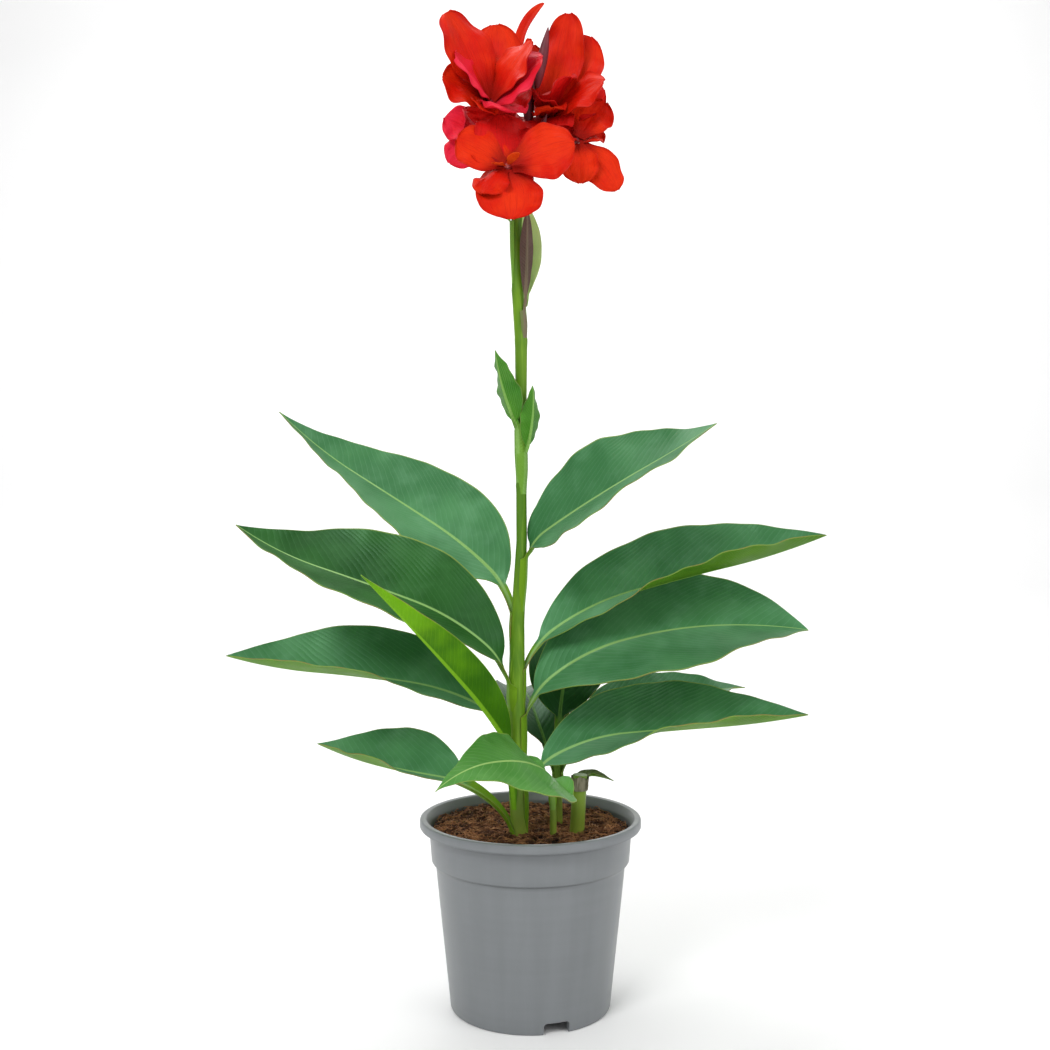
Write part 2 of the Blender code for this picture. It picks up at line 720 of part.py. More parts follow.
def make_collar():
    """Dry ring of old sheath round the top of the cut shoot."""
    run = SHOOT_RUNS["shoot_cut"]
    sides = 16
    verts = []
    faces = []
    for k in range(sides):
        a = 2 * math.pi * k / sides
        for height, out in ((190, 0.0), (190, 0.9), (COLLAR_TOP, 1.2), (COLLAR_TOP, 0.2)):
            centre, radius = run_at(run, height)
            lift = 1.4 * math.sin(3 * a) * MM if height == COLLAR_TOP else 0.0
            reach = radius + FIT + out * MM
            verts.append(centre + heading(math.degrees(a), 0) * reach + np.array((0, 0, lift)))
    for k in range(sides):
        n = (k + 1) % sides
        for j in range(4):
            m = (j + 1) % 4
            faces.append((k * 4 + j, n * 4 + j, n * 4 + m, k * 4 + m))
    return add_body("shoot_cut_collar", verts, faces, "dry_grey")


def build():
    clear_scene()
    make_pot()
    grow = FIT
    cutters = rhizome_rods("mix_cutter_rhizome", grow, True)
    cutters.append(stem_rod("mix_cutter_stem", STEM_RUN, None, grow, True, STEM_RUN[0][0] - 4, 190))
    for name, run in SHOOT_RUNS.items():
        cutters.append(stem_rod(f"mix_cutter_{name}", run, None, grow, True, run[0][0] - 4, 190, 12))
    make_mix(cutters)
    make_rhizome()
    stem_rod("main_stem", STEM_RUN, "stem_green")
    for name, run in SHOOT_RUNS.items():
        stem_rod(name, run, "stem_green", sides=12)
    make_collar()
    for name, spec in LEAVES.items():
        leaf(name, spec, STEM_RUN)
    for name, spec in SHOOT_LEAVES.items():
        leaf(name, spec, SHOOT_RUNS[spec["on"]])
    for name, spec in STALK_LEAVES.items():
        leaf(name, spec, STEM_RUN, 3, 8)
    for name, spec in FLOWERS.items():
        make_flower(name, spec)
    front = np.array(FLOWERS["flower_front"]["throat"]) * MM
    for name, spec in FRONT_STAMENS.items():
        petal(name, front + heading(spec[0], spec[1]) * CLAW, spec, "stamen_orange", 4, 1)
    for name, spec in BUDS.items():
        make_bud(name, spec)
    petal("petal_curled", off_stem(CURL_FOOT, 200, 1.0 * MM), CURL_SPEC, "petal_red", 9, 1)


build()
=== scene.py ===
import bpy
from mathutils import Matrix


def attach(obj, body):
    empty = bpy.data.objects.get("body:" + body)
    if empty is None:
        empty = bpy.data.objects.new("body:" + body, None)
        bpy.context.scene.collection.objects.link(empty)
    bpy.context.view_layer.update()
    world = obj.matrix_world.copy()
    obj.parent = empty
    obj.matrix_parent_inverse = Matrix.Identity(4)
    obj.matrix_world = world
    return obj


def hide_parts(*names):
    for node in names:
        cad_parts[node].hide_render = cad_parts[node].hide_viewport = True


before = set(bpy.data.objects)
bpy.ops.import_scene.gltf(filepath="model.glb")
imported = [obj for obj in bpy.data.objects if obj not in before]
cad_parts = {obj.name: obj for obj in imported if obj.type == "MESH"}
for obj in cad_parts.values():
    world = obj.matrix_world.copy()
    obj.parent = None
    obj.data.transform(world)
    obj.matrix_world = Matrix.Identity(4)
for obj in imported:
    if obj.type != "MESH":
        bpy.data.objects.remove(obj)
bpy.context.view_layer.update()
# Canna lily in a nursery pot: pot, coir mix, rhizome, leafy stem, side shoots, flower head.
import math
import random

import bpy
import numpy as np
from mathutils import Vector, noise

bpy.ops.object.select_all(action="DESELECT")

# ---------------------------------------------------------------- pot
# A nursery pot moulded in one shot from grey plastic: tapered wall, a wider band under a rolled lip,
# a raised floor on a foot ring, and three drain notches cut through the ring.
# The moulding leaves faint upright flow streaks and turning marks in the satin face.
MM = 0.001
POT_SIDES = 192
POT_FLOOR = (60.0, 10.6)
POT_PROFILE = (
    (61.4, 10.2), (62.0, 9.0), (62.0, 0.6), (62.6, 0.0), (66.9, 0.0), (68.2, 0.5), (69.0, 2.2), (69.9, 12.0),
    (73.2, 44.0), (77.4, 84.0), (81.2, 121.6), (81.5, 124.2), (82.4, 125.4), (84.3, 126.2), (84.9, 127.2),
    (85.9, 140.0), (86.9, 152.6), (87.3, 153.8), (88.4, 154.5), (93.2, 154.8), (94.4, 155.3), (95.0, 156.4),
    (95.0, 160.8), (94.6, 162.2), (93.4, 163.0), (91.0, 163.0), (89.6, 162.6), (88.4, 161.2), (86.1, 156.4),
    (85.5, 154.4), (83.6, 129.4), (83.0, 127.4), (80.6, 125.8), (79.9, 123.6), (74.2, 64.0), (68.9, 13.6),
    (67.8, 12.3), (66.0, 12.0),
)
NOTCH_TURNS = (-72, 48, 168)
NOTCH_PLACE = 68.0
NOTCH_SIZE = (22.0, 22.0, 20.0)
NOTCH_CORNER = 3.0
BAND_FOOT = 125.6
LIP_FOOT = 154.0


def heading(turn, rise):
    a = math.radians(turn)
    e = math.radians(rise)
    return Vector((math.cos(e) * math.cos(a), math.cos(e) * math.sin(a), math.sin(e)))


def feed(tree, socket, source):
    """Joins a socket to another one or sets its value; a colour is red, green and blue."""
    if isinstance(source, bpy.types.NodeSocket):
        tree.links.new(source, socket)
    else:
        socket.default_value = (*source, 1) if socket.type == "RGBA" else source


def calc(tree, operation, *sources):
    made = tree.nodes.new("ShaderNodeMath")
    made.operation = operation
    for socket, source in zip(made.inputs, sources):
        feed(tree, socket, source)
    return made.outputs[0]


def times(tree, one, other):
    return calc(tree, "MULTIPLY", one, other)


def plus(tree, one, other):
    return calc(tree, "ADD", one, other)


def share_of(tree, value, low, high, to_low=0.0, to_high=1.0):
    """Turns a value between low and high into a smooth share from to_low to to_high."""
    made = tree.nodes.new("ShaderNodeMapRange")
    made.interpolation_type = "SMOOTHSTEP"
    for socket, source in zip(made.inputs, (value, low, high, to_low, to_high)):
        feed(tree, socket, source)
    return made.outputs[0]


def mix_colour(tree, share, first, second):
    made = tree.nodes.new("ShaderNodeMix")
    made.data_type = "RGBA"
    feed(tree, made.inputs[0], share)
    feed(tree, made.inputs[6], first)
    feed(tree, made.inputs[7], second)
    return made.outputs[2]


def grain(tree, stretch, detail=3.0, vector=None):
    """Noise on the piece's own coordinates, stretched by a factor on each axis."""
    if vector is None:
        vector = tree.nodes.new("ShaderNodeTexCoord").outputs["Object"]
    mapping = tree.nodes.new("ShaderNodeMapping")
    mapping.inputs["Scale"].default_value = stretch
    tree.links.new(vector, mapping.inputs["Vector"])
    made = tree.nodes.new("ShaderNodeTexNoise")
    made.inputs["Scale"].default_value = 1.0
    made.inputs["Detail"].default_value = detail
    tree.links.new(mapping.outputs[0], made.inputs["Vector"])
    return made.outputs[0]


def new_finish(name, gloss=0.5, glint=(1, 1, 1)):
    """A material with its shader, and constants set on the shader's own sockets."""
    made = bpy.data.materials.new(name)
    made.use_nodes = True
    tree = made.node_tree
    shader = tree.nodes["Principled BSDF"]
    feed(tree, shader.inputs["Specular IOR Level"], gloss)
    feed(tree, shader.inputs["Specular Tint"], glint)
    return made, tree, shader


def height_above_floor(tree):
    split = tree.nodes.new("ShaderNodeSeparateXYZ")
    tree.links.new(tree.nodes.new("ShaderNodeTexCoord").outputs["Object"], split.inputs[0])
    return split.outputs["Z"]


def dress(tree, shader, colour, roughness, relief=None, depth=0.0):
    """Joins a finish's colour, roughness and relief of a depth in metres to its shader."""
    feed(tree, shader.inputs["Base Color"], colour)
    feed(tree, shader.inputs["Roughness"], roughness)
    if relief is not None:
        bump = tree.nodes.new("ShaderNodeBump")
        bump.inputs["Distance"].default_value = depth
        bump.inputs["Strength"].default_value = 1.0
        tree.links.new(relief, bump.inputs["Height"])
        tree.links.new(bump.outputs[0], shader.inputs["Normal"])


def settle(piece, nodes, finishes):
    """Puts the finishes in a piece's material slots, hangs it on the body and hides the model parts it stands in
    for.
    """
    for count, finish in enumerate(finishes):
        if count < len(piece.data.materials):
            piece.data.materials[count] = finish
        else:
            piece.data.materials.append(finish)
    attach(piece, "root")
    if nodes:
        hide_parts(*nodes)


def apply_step(piece, kind, **settings):
    """Adds a modifier to a piece, sets it and applies it."""
    step = piece.modifiers.new(kind.lower(), kind)
    for key, value in settings.items():
        setattr(step, key, value)
    bpy.context.view_layer.objects.active = piece
    bpy.ops.object.modifier_apply(modifier=step.name)


def turn_up(name, sides, start, profile):
    """A disc at the start ring, extruded from ring to ring of the profile, each a radius and height in mm."""
    radius, height = start
    bpy.ops.mesh.primitive_circle_add(
        vertices=sides, radius=radius * MM, fill_type="NGON", location=(0, 0, height * MM))
    piece = bpy.context.object
    piece.name = name
    bpy.ops.object.transform_apply(location=True, rotation=True, scale=True)
    bpy.ops.object.mode_set(mode="EDIT")
    bpy.ops.mesh.select_all(action="SELECT")
    for ring_radius, ring_height in profile:
        bpy.ops.mesh.extrude_region_move(TRANSFORM_OT_translate={"value": (0, 0, (ring_height - height) * MM)})
        ratio = ring_radius / radius
        bpy.ops.transform.resize(value=(ratio, ratio, 1), center_override=(0, 0, 0))
        radius, height = ring_radius, ring_height
    bpy.ops.mesh.select_all(action="SELECT")
    bpy.ops.mesh.normals_make_consistent(inside=False)
    bpy.ops.object.mode_set(mode="OBJECT")
    return piece


def smooth_over(piece, angle):
    """Smooths the faces of a piece, apart from edges sharper than the angle."""
    bpy.ops.object.select_all(action="DESELECT")
    piece.select_set(True)
    bpy.context.view_layer.objects.active = piece
    bpy.ops.object.shade_smooth_by_angle(angle=math.radians(angle))


pot = turn_up("nursery_pot", POT_SIDES, POT_FLOOR, POT_PROFILE)
for turn in NOTCH_TURNS:
    spot = heading(turn, 0) * NOTCH_PLACE * MM
    bpy.ops.mesh.primitive_cube_add(size=1, location=spot, rotation=(0, 0, math.radians(turn)))
    notch_cutter = bpy.context.object
    notch_cutter.scale = tuple(size * MM for size in NOTCH_SIZE)
    bpy.ops.object.transform_apply(location=True, rotation=True, scale=True)
    apply_step(notch_cutter, "BEVEL", width=NOTCH_CORNER * MM, segments=4)
    apply_step(pot, "BOOLEAN", operation="DIFFERENCE", solver="EXACT", object=notch_cutter)
    bpy.data.objects.remove(notch_cutter)
smooth_over(pot, 32)

pot_finish, tree, shader = new_finish("grey_pot_plastic", gloss=0.45)
streaks = grain(tree, (70, 70, 2.2), 4.0)
rings = grain(tree, (2, 2, 120), 2.0)
clouds = grain(tree, (9, 9, 9))
speck = grain(tree, (900, 900, 900), 1.0)
tone = plus(tree, times(tree, streaks, 0.5), times(tree, rings, 0.25))
tone = plus(tree, tone, times(tree, clouds, 0.25))
height = height_above_floor(tree)
# Painted shade: near-black lines painted along the foot of the band and under the lip, where the steps cast
# shade.
from_band = calc(tree, "ABSOLUTE", calc(tree, "SUBTRACT", height, BAND_FOOT * MM))
from_lip = calc(tree, "ABSOLUTE", calc(tree, "SUBTRACT", height, LIP_FOOT * MM))
step_shade = plus(tree, share_of(tree, from_band, 0.4 * MM, 1.8 * MM, 0.55, 0.0),
            share_of(tree, from_lip, 0.6 * MM, 3.0 * MM, 0.4, 0.0))
pot_body = mix_colour(
    tree, share_of(tree, tone, 0.38, 0.62), (0.182, 0.195, 0.204), (0.2, 0.214, 0.224))
relief = plus(tree, times(tree, rings, 0.6), times(tree, speck, 0.4))
dress(tree, shader, mix_colour(tree, step_shade, pot_body, (0.06, 0.064, 0.067)),
      share_of(tree, tone, 0.35, 0.65, 0.3, 0.42), relief, 0.02 * MM)
settle(pot, ["pot"], [pot_finish])

# ---------------------------------------------------------------- growing mix
# Coir-based potting mix that fills the pot to 10 mm under the rim: a lumpy brown bed with loose
# coconut fibres and small crumbs lying over it, all held only by its own weight.
MIX_FLOOR = (67.4, 12.6)
MIX_WALL = ((79.6, 124.8), (83.0, 128.6), (85.0, 151.6))
MIX_RINGS = 34
MIX_TOP = 153.0
MIX_SIDES = 144
MIX_REACH = 84.0
LIE = 0.3
FIBRES = 3600
FIBRE_STEPS = 5
FIBRE_LENGTHS = (5, 20)
FIBRE_RADII = (0.26, 0.58)
FIBRE_LOFTS = (0.2, 3.0)
FIBRE_LIMIT = 85.5
CRUMBS = 900
CRUMB_REACH = 83.0
CRUMB_SIZES = ((0.6, 2.4), (0.5, 1.5), (0.4, 1.0))

top_rings = [(MIX_REACH * (1 - k / MIX_RINGS) ** 0.8, MIX_TOP) for k in range(MIX_RINGS)]
mix_bed = turn_up("coir_bed", MIX_SIDES, MIX_FLOOR, [*MIX_WALL, *top_rings])


def bed_height(x, y):
    """Height of the mix at a point, all in millimetres."""
    coarse = noise.noise(Vector((x * 0.045, y * 0.045, 3.1)))
    fine = noise.noise(Vector((x * 0.19, y * 0.19, 7.7)))
    grit = noise.noise(Vector((x * 0.7, y * 0.7, 1.9)))
    return MIX_TOP + 2.2 * coarse + 1.5 * fine + 0.7 * grit


for vertex in mix_bed.data.vertices:
    if vertex.co.z > (MIX_TOP - 0.5) * MM:
        vertex.co.z = bed_height(vertex.co.x / MM, vertex.co.y / MM) * MM
smooth_over(mix_bed, 50)


def lay_faces(name, verts, faces):
    mesh = bpy.data.meshes.new(name)
    mesh.from_pydata(verts, [], faces)
    piece = bpy.data.objects.new(name, mesh)
    bpy.context.scene.collection.objects.link(piece)
    return piece


chance = random.Random(41)
strand_verts = []
strand_faces = []
for count in range(FIBRES):
    reach = MIX_REACH * math.sqrt(chance.random())
    spot = heading(chance.uniform(0, 360), 0) * reach
    way = chance.uniform(0, 360)
    bend = chance.uniform(-14, 14)
    length = chance.uniform(*FIBRE_LENGTHS)
    thick = chance.uniform(*FIBRE_RADII)
    loft = chance.uniform(*FIBRE_LOFTS)
    start = len(strand_verts)
    inside = True
    for k in range(FIBRE_STEPS + 1):
        share = k / FIBRE_STEPS
        if math.hypot(spot.x, spot.y) > FIBRE_LIMIT:
            inside = False
        height = bed_height(spot.x, spot.y) + LIE + loft * math.sin(math.pi * share) ** 1.2
        centre = Vector((spot.x, spot.y, height))
        girth = thick * (1 - 0.6 * abs(2 * share - 1))
        for j in range(3):
            a = math.radians(120 * j)
            place = centre + heading(way + 90, 0) * girth * math.cos(a) + Vector((0, 0, girth * math.sin(a)))
            strand_verts.append(tuple(place * MM))
        spot = spot + heading(way, 0) * length / FIBRE_STEPS
        way += bend + chance.uniform(-8, 8)
    if not inside:
        del strand_verts[start:]
        continue
    for k in range(FIBRE_STEPS):
        for j in range(3):
            a = start + 3 * k + j
            b = start + 3 * k + (j + 1) % 3
            strand_faces.append((a, b, b + 3, a + 3))
    end = start + 3 * FIBRE_STEPS
    strand_faces += [(start + 2, start + 1, start), (end, end + 1, end + 2)]
coir_fibres = lay_faces("coir_fibres", strand_verts, strand_faces)
coir_fibres.data.shade_smooth()

bpy.ops.mesh.primitive_ico_sphere_add(subdivisions=1, radius=1)
crumb_seed = bpy.context.object
crumb_points = [v.co.copy() for v in crumb_seed.data.vertices]
crumb_sides = [tuple(p.vertices) for p in crumb_seed.data.polygons]
bpy.data.objects.remove(crumb_seed)
crumb_verts = []
crumb_faces = []
for count in range(CRUMBS):
    spot = heading(chance.uniform(0, 360), 0) * CRUMB_REACH * math.sqrt(chance.random())
    size = Vector([chance.uniform(*span) for span in CRUMB_SIZES])
    way = chance.uniform(0, 2 * math.pi)
    start = len(crumb_verts)
    for point in crumb_points:
        rough = 1 + chance.uniform(-0.25, 0.25)
        x = point.x * size.x * rough
        y = point.y * size.y * rough
        crumb_verts.append(((spot.x + x * math.cos(way) - y * math.sin(way)) * MM,
                            (spot.y + x * math.sin(way) + y * math.cos(way)) * MM,
                            (bed_height(spot.x, spot.y) + LIE + point.z * size.z * rough) * MM))
    crumb_faces += [tuple(start + i for i in side) for side in crumb_sides]
mix_crumbs = lay_faces("mix_crumbs", crumb_verts, crumb_faces)

bed_finish, tree, shader = new_finish("coir_bed_brown", gloss=0.25)
lumps = grain(tree, (170, 170, 170), 5.0)
threads = grain(tree, (900, 260, 500))
dark = mix_colour(tree, share_of(tree, lumps, 0.4, 0.62), (0.006, 0.002, 0.0015), (0.028, 0.009, 0.005))
dress(tree, shader, mix_colour(tree, share_of(tree, threads, 0.56, 0.7), dark, (0.1, 0.038, 0.016)),
      share_of(tree, lumps, 0.3, 0.7, 0.98, 0.82),
      plus(tree, lumps, times(tree, threads, 0.5)), 1.6 * MM)
settle(mix_bed, ["potting_mix"], [bed_finish])

fibre_finish, tree, shader = new_finish("coir_fibre_brown", gloss=0.3)
tint = grain(tree, (120, 120, 120))
patch = grain(tree, (210, 210, 210), 2.0)
warm = mix_colour(tree, share_of(tree, tint, 0.35, 0.65), (0.08, 0.028, 0.011), (0.42, 0.19, 0.08))
dress(tree, shader, mix_colour(tree, share_of(tree, patch, 0.6, 0.72), warm, (0.5, 0.27, 0.13)),
      share_of(tree, patch, 0.3, 0.7, 0.9, 0.7))
settle(coir_fibres, [], [fibre_finish])
settle(mix_crumbs, [], [bed_finish])

# ---------------------------------------------------------------- rhizome
# The swollen rootstock with its short roots lies under the mix and carries every stem.
# It is a tan, ringed, slightly scaly root, grown in one piece; only its finish is set here.
rhizome_finish, tree, shader = new_finish("rhizome_skin")
rings = grain(tree, (220, 40, 40))
scurf = grain(tree, (120, 120, 120), 4.0)
skin = mix_colour(tree, share_of(tree, rings, 0.4, 0.6), (0.2, 0.12, 0.055), (0.4, 0.29, 0.15))
dress(tree, shader, mix_colour(tree, share_of(tree, scurf, 0.52, 0.7), skin, (0.1, 0.055, 0.025)),
      share_of(tree, scurf, 0.3, 0.7, 0.9, 0.7), plus(tree, rings, scurf), 0.6 * MM)
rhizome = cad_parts["rhizome"]
for material_slot in rhizome.material_slots:
    material_slot.material = rhizome_finish

# ---------------------------------------------------------------- stem and side shoots
# One upright stem, smooth, juicy and yellow-green, a little swollen where leaves leave it, and three
# side shoots beside it; the thickest was cut off and keeps a dry grey collar of old sheath.
# They grow out of the rhizome through the mix.
STEM_RUN = (
    (131, -9, -27, 7.0), (150, -9, -27, 7.0), (200, -11, -25, 7.9), (267, -12, -22, 7.4), (330, -11, -17, 5.9),
    (400, -7.5, -13, 4.6), (480, -8, -11, 4.4), (570, -8, -8, 5.4), (610, -11, -8, 4.9), (670, -12, -6, 4.6),
    (730, -4, -2, 3.6), (790, 3, 0, 2.2),
)
SHOOT_RUNS = {
    "shoot_thin": ((127, 19, -30, 3.0), (170, 19, -30, 2.8), (196, 18, -31, 2.6)),
    "shoot_middle": ((127, 24, 12, 4.2), (190, 24, 13, 3.8), (222, 23, 15, 3.4)),
    "shoot_cut": ((128.5, 38, -18, 6.6), (165, 40, -19, 6.2), (203, 42, -20, 6.0)),
}
STEM_JOINTS = (508, 447, 569, 612)
STEM_SIDES = 24
ROW_STEP = 3.0
MERGE_GAP = 0.000002
UV_SPAN = 500
COLLAR_FOOT = 190.0
COLLAR_TOP = 201.0
COLLAR_SIDES = 48
COLLAR_RINGS = ((0.0, 0.3), (0.0, 1.2), (0.25, 1.45), (0.5, 1.3), (0.8, 1.6), (1.0, 1.5), (1.0, 0.5), (0.5, 0.3),
                (0.0, 0.3))


def run_at(run, height):
    """Centre and radius of a stem at a height, in millimetres."""
    heights = [p[0] for p in run]
    x, y, r = (float(np.interp(height, heights, [p[k] for p in run])) for k in (1, 2, 3))
    return Vector((x, y, height)), r


def lay_grid(name, table):
    """Grid laid over a table of (place in mm, share along, share across, mm along, mm across)."""
    rows = len(table) - 1
    columns = len(table[0]) - 1
    bpy.ops.object.select_all(action="DESELECT")
    bpy.ops.mesh.primitive_grid_add(x_subdivisions=rows, y_subdivisions=columns, size=2)
    piece = bpy.context.object
    piece.name = piece.data.name = name
    spots = []
    for vertex in piece.data.vertices:
        i = round((vertex.co.x + 1) / 2 * rows)
        j = round((vertex.co.y + 1) / 2 * columns)
        spots.append(table[i][j])
        vertex.co = table[i][j][0] * MM
    shares = piece.data.uv_layers[0]
    shares.name = "shares"
    lengths = piece.data.uv_layers.new(name="lengths")
    for loop in piece.data.loops:
        spot = spots[loop.vertex_index]
        shares.data[loop.index].uv = (spot[1], 0.5 + 0.5 * spot[2])
        lengths.data[loop.index].uv = (spot[3] / UV_SPAN, 0.5 + spot[4] / UV_SPAN)
    return piece, spots


def close_seams(angle):
    """Merges the doubled points of the active piece, turns its faces outwards and smooths them."""
    bpy.ops.object.mode_set(mode="EDIT")
    bpy.ops.mesh.select_all(action="SELECT")
    bpy.ops.mesh.remove_doubles(threshold=MERGE_GAP)
    bpy.ops.mesh.normals_make_consistent(inside=False)
    bpy.ops.object.mode_set(mode="OBJECT")
    bpy.ops.object.shade_smooth_by_angle(angle=math.radians(angle))


def lay_rod(name, centres, radii, sides=STEM_SIDES):
    """Grid wrapped round a line of centres in mm, its seam merged and its ends run in to points."""
    centres = [centres[0]] + list(centres) + [centres[-1]]
    radii = [0.0] + list(radii) + [0.0]
    table = []
    side = None
    gone = 0.0
    for i, (centre, radius) in enumerate(zip(centres, radii)):
        ahead = centres[min(max(i + 1, 2), len(centres) - 2)]
        behind = centres[min(max(i - 1, 1), len(centres) - 3)]
        along = (ahead - behind).normalized()
        if side is None:
            side = along.cross(Vector((0, 1, 0)) if abs(along.x) < 0.8 else Vector((0, 0, 1))).normalized()
        side = (side - along * side.dot(along)).normalized()
        other = along.cross(side)
        if i:
            gone += (centre - centres[i - 1]).length
        row = []
        for j in range(sides + 1):
            a = 2 * math.pi * (j % sides) / sides
            place = centre + (side * math.cos(a) + other * math.sin(a)) * radius
            round_way = radius * (2 * math.pi * j / sides)
            row.append((place, i / (len(centres) - 1), 2 * j / sides - 1, gone, round_way))
        table.append(row)
    piece = lay_grid(name, table)[0]
    close_seams(50)
    return piece


def lay_stem(name, run, joints=()):
    count = int((run[-1][0] - run[0][0]) / ROW_STEP)
    centres = []
    radii = []
    for i in range(count + 1):
        height = run[0][0] + (run[-1][0] - run[0][0]) * i / count
        centre, radius = run_at(run, height)
        swell = sum(0.35 * math.exp(-((height - j) / 2.2) ** 2) for j in joints)
        centres.append(centre)
        radii.append(radius - 0.05 + swell)
    return lay_rod(name, centres, radii)


def make_stem_finish(name, light, dark, bloom_and_sheen):
    made, tree, shader = new_finish(name, gloss=0.3)
    lines = grain(tree, (420, 420, 5))
    clouds = grain(tree, (30, 30, 12))
    height = height_above_floor(tree)
    body = mix_colour(tree, share_of(tree, clouds, 0.38, 0.64), light, dark)
    body = mix_colour(tree, share_of(tree, lines, 0.52, 0.75, 0.0, 0.5), body, bloom_and_sheen)
    foot = share_of(tree, height, 0.15, 0.215, 0.55, 0.0)
    body = mix_colour(tree, foot, body, (0.36, 0.42, 0.075))
    body = mix_colour(tree, share_of(tree, height, 0.672, 0.705), body, (0.11, 0.016, 0.018))
    dress(tree, shader, body, share_of(tree, clouds, 0.3, 0.7, 0.34, 0.46), lines, 0.25 * MM)
    return made


stem_finish = make_stem_finish(
    "stem_green", (0.15, 0.3, 0.01), (0.075, 0.195, 0.008), (0.24, 0.4, 0.04))
main_stem = lay_stem("stem_main", STEM_RUN, STEM_JOINTS)
settle(main_stem, ["main_stem"], [stem_finish])
for shoot_name, shoot_run in SHOOT_RUNS.items():
    shoot = lay_stem(f"side_{shoot_name}", shoot_run)
    settle(shoot, [shoot_name], [stem_finish])

dry_finish, tree, shader = new_finish("dry_sheath_grey", gloss=0.3)
fray = grain(tree, (500, 500, 40), 4.0)
dry_body = mix_colour(tree, share_of(tree, fray, 0.38, 0.62), (0.07, 0.068, 0.035), (0.24, 0.225, 0.15))
dress(tree, shader, dry_body, share_of(tree, fray, 0.3, 0.7, 0.9, 0.75), fray, 0.6 * MM)
table = []
for i, (share, reach) in enumerate(COLLAR_RINGS):
    row = []
    for j in range(COLLAR_SIDES + 1):
        a = 360 * (j % COLLAR_SIDES) / COLLAR_SIDES
        wave = 1.3 * math.sin(math.radians(3 * a)) + 0.5 * math.sin(math.radians(11 * a + 40))
        height = COLLAR_FOOT + (COLLAR_TOP - COLLAR_FOOT) * share
        centre, radius = run_at(SHOOT_RUNS["shoot_cut"], height)
        pucker = 0.18 * math.sin(math.radians(9 * a)) * (1 if reach > 0.6 else 0)
        place = centre + heading(a, 0) * (radius + reach + pucker) + Vector((0, 0, wave * share))
        row.append((place, share, 2 * j / COLLAR_SIDES - 1, height, radius * math.radians(a)))
    table.append(row)
collar = lay_grid("shoot_collar", table)[0]
close_seams(40)
settle(collar, ["shoot_cut_collar"], [dry_finish])

# ---------------------------------------------------------------- leaves
# Each leaf is one living sheet: a sheath that wraps the stem, a channelled stalk and a broad blade with a pale
# midrib, side veins that sweep towards the tip, and a thin yellow-green edge. The blade's halves fold up
# or droop from the midrib; the upper face is waxy green and the underside is lighter and duller.

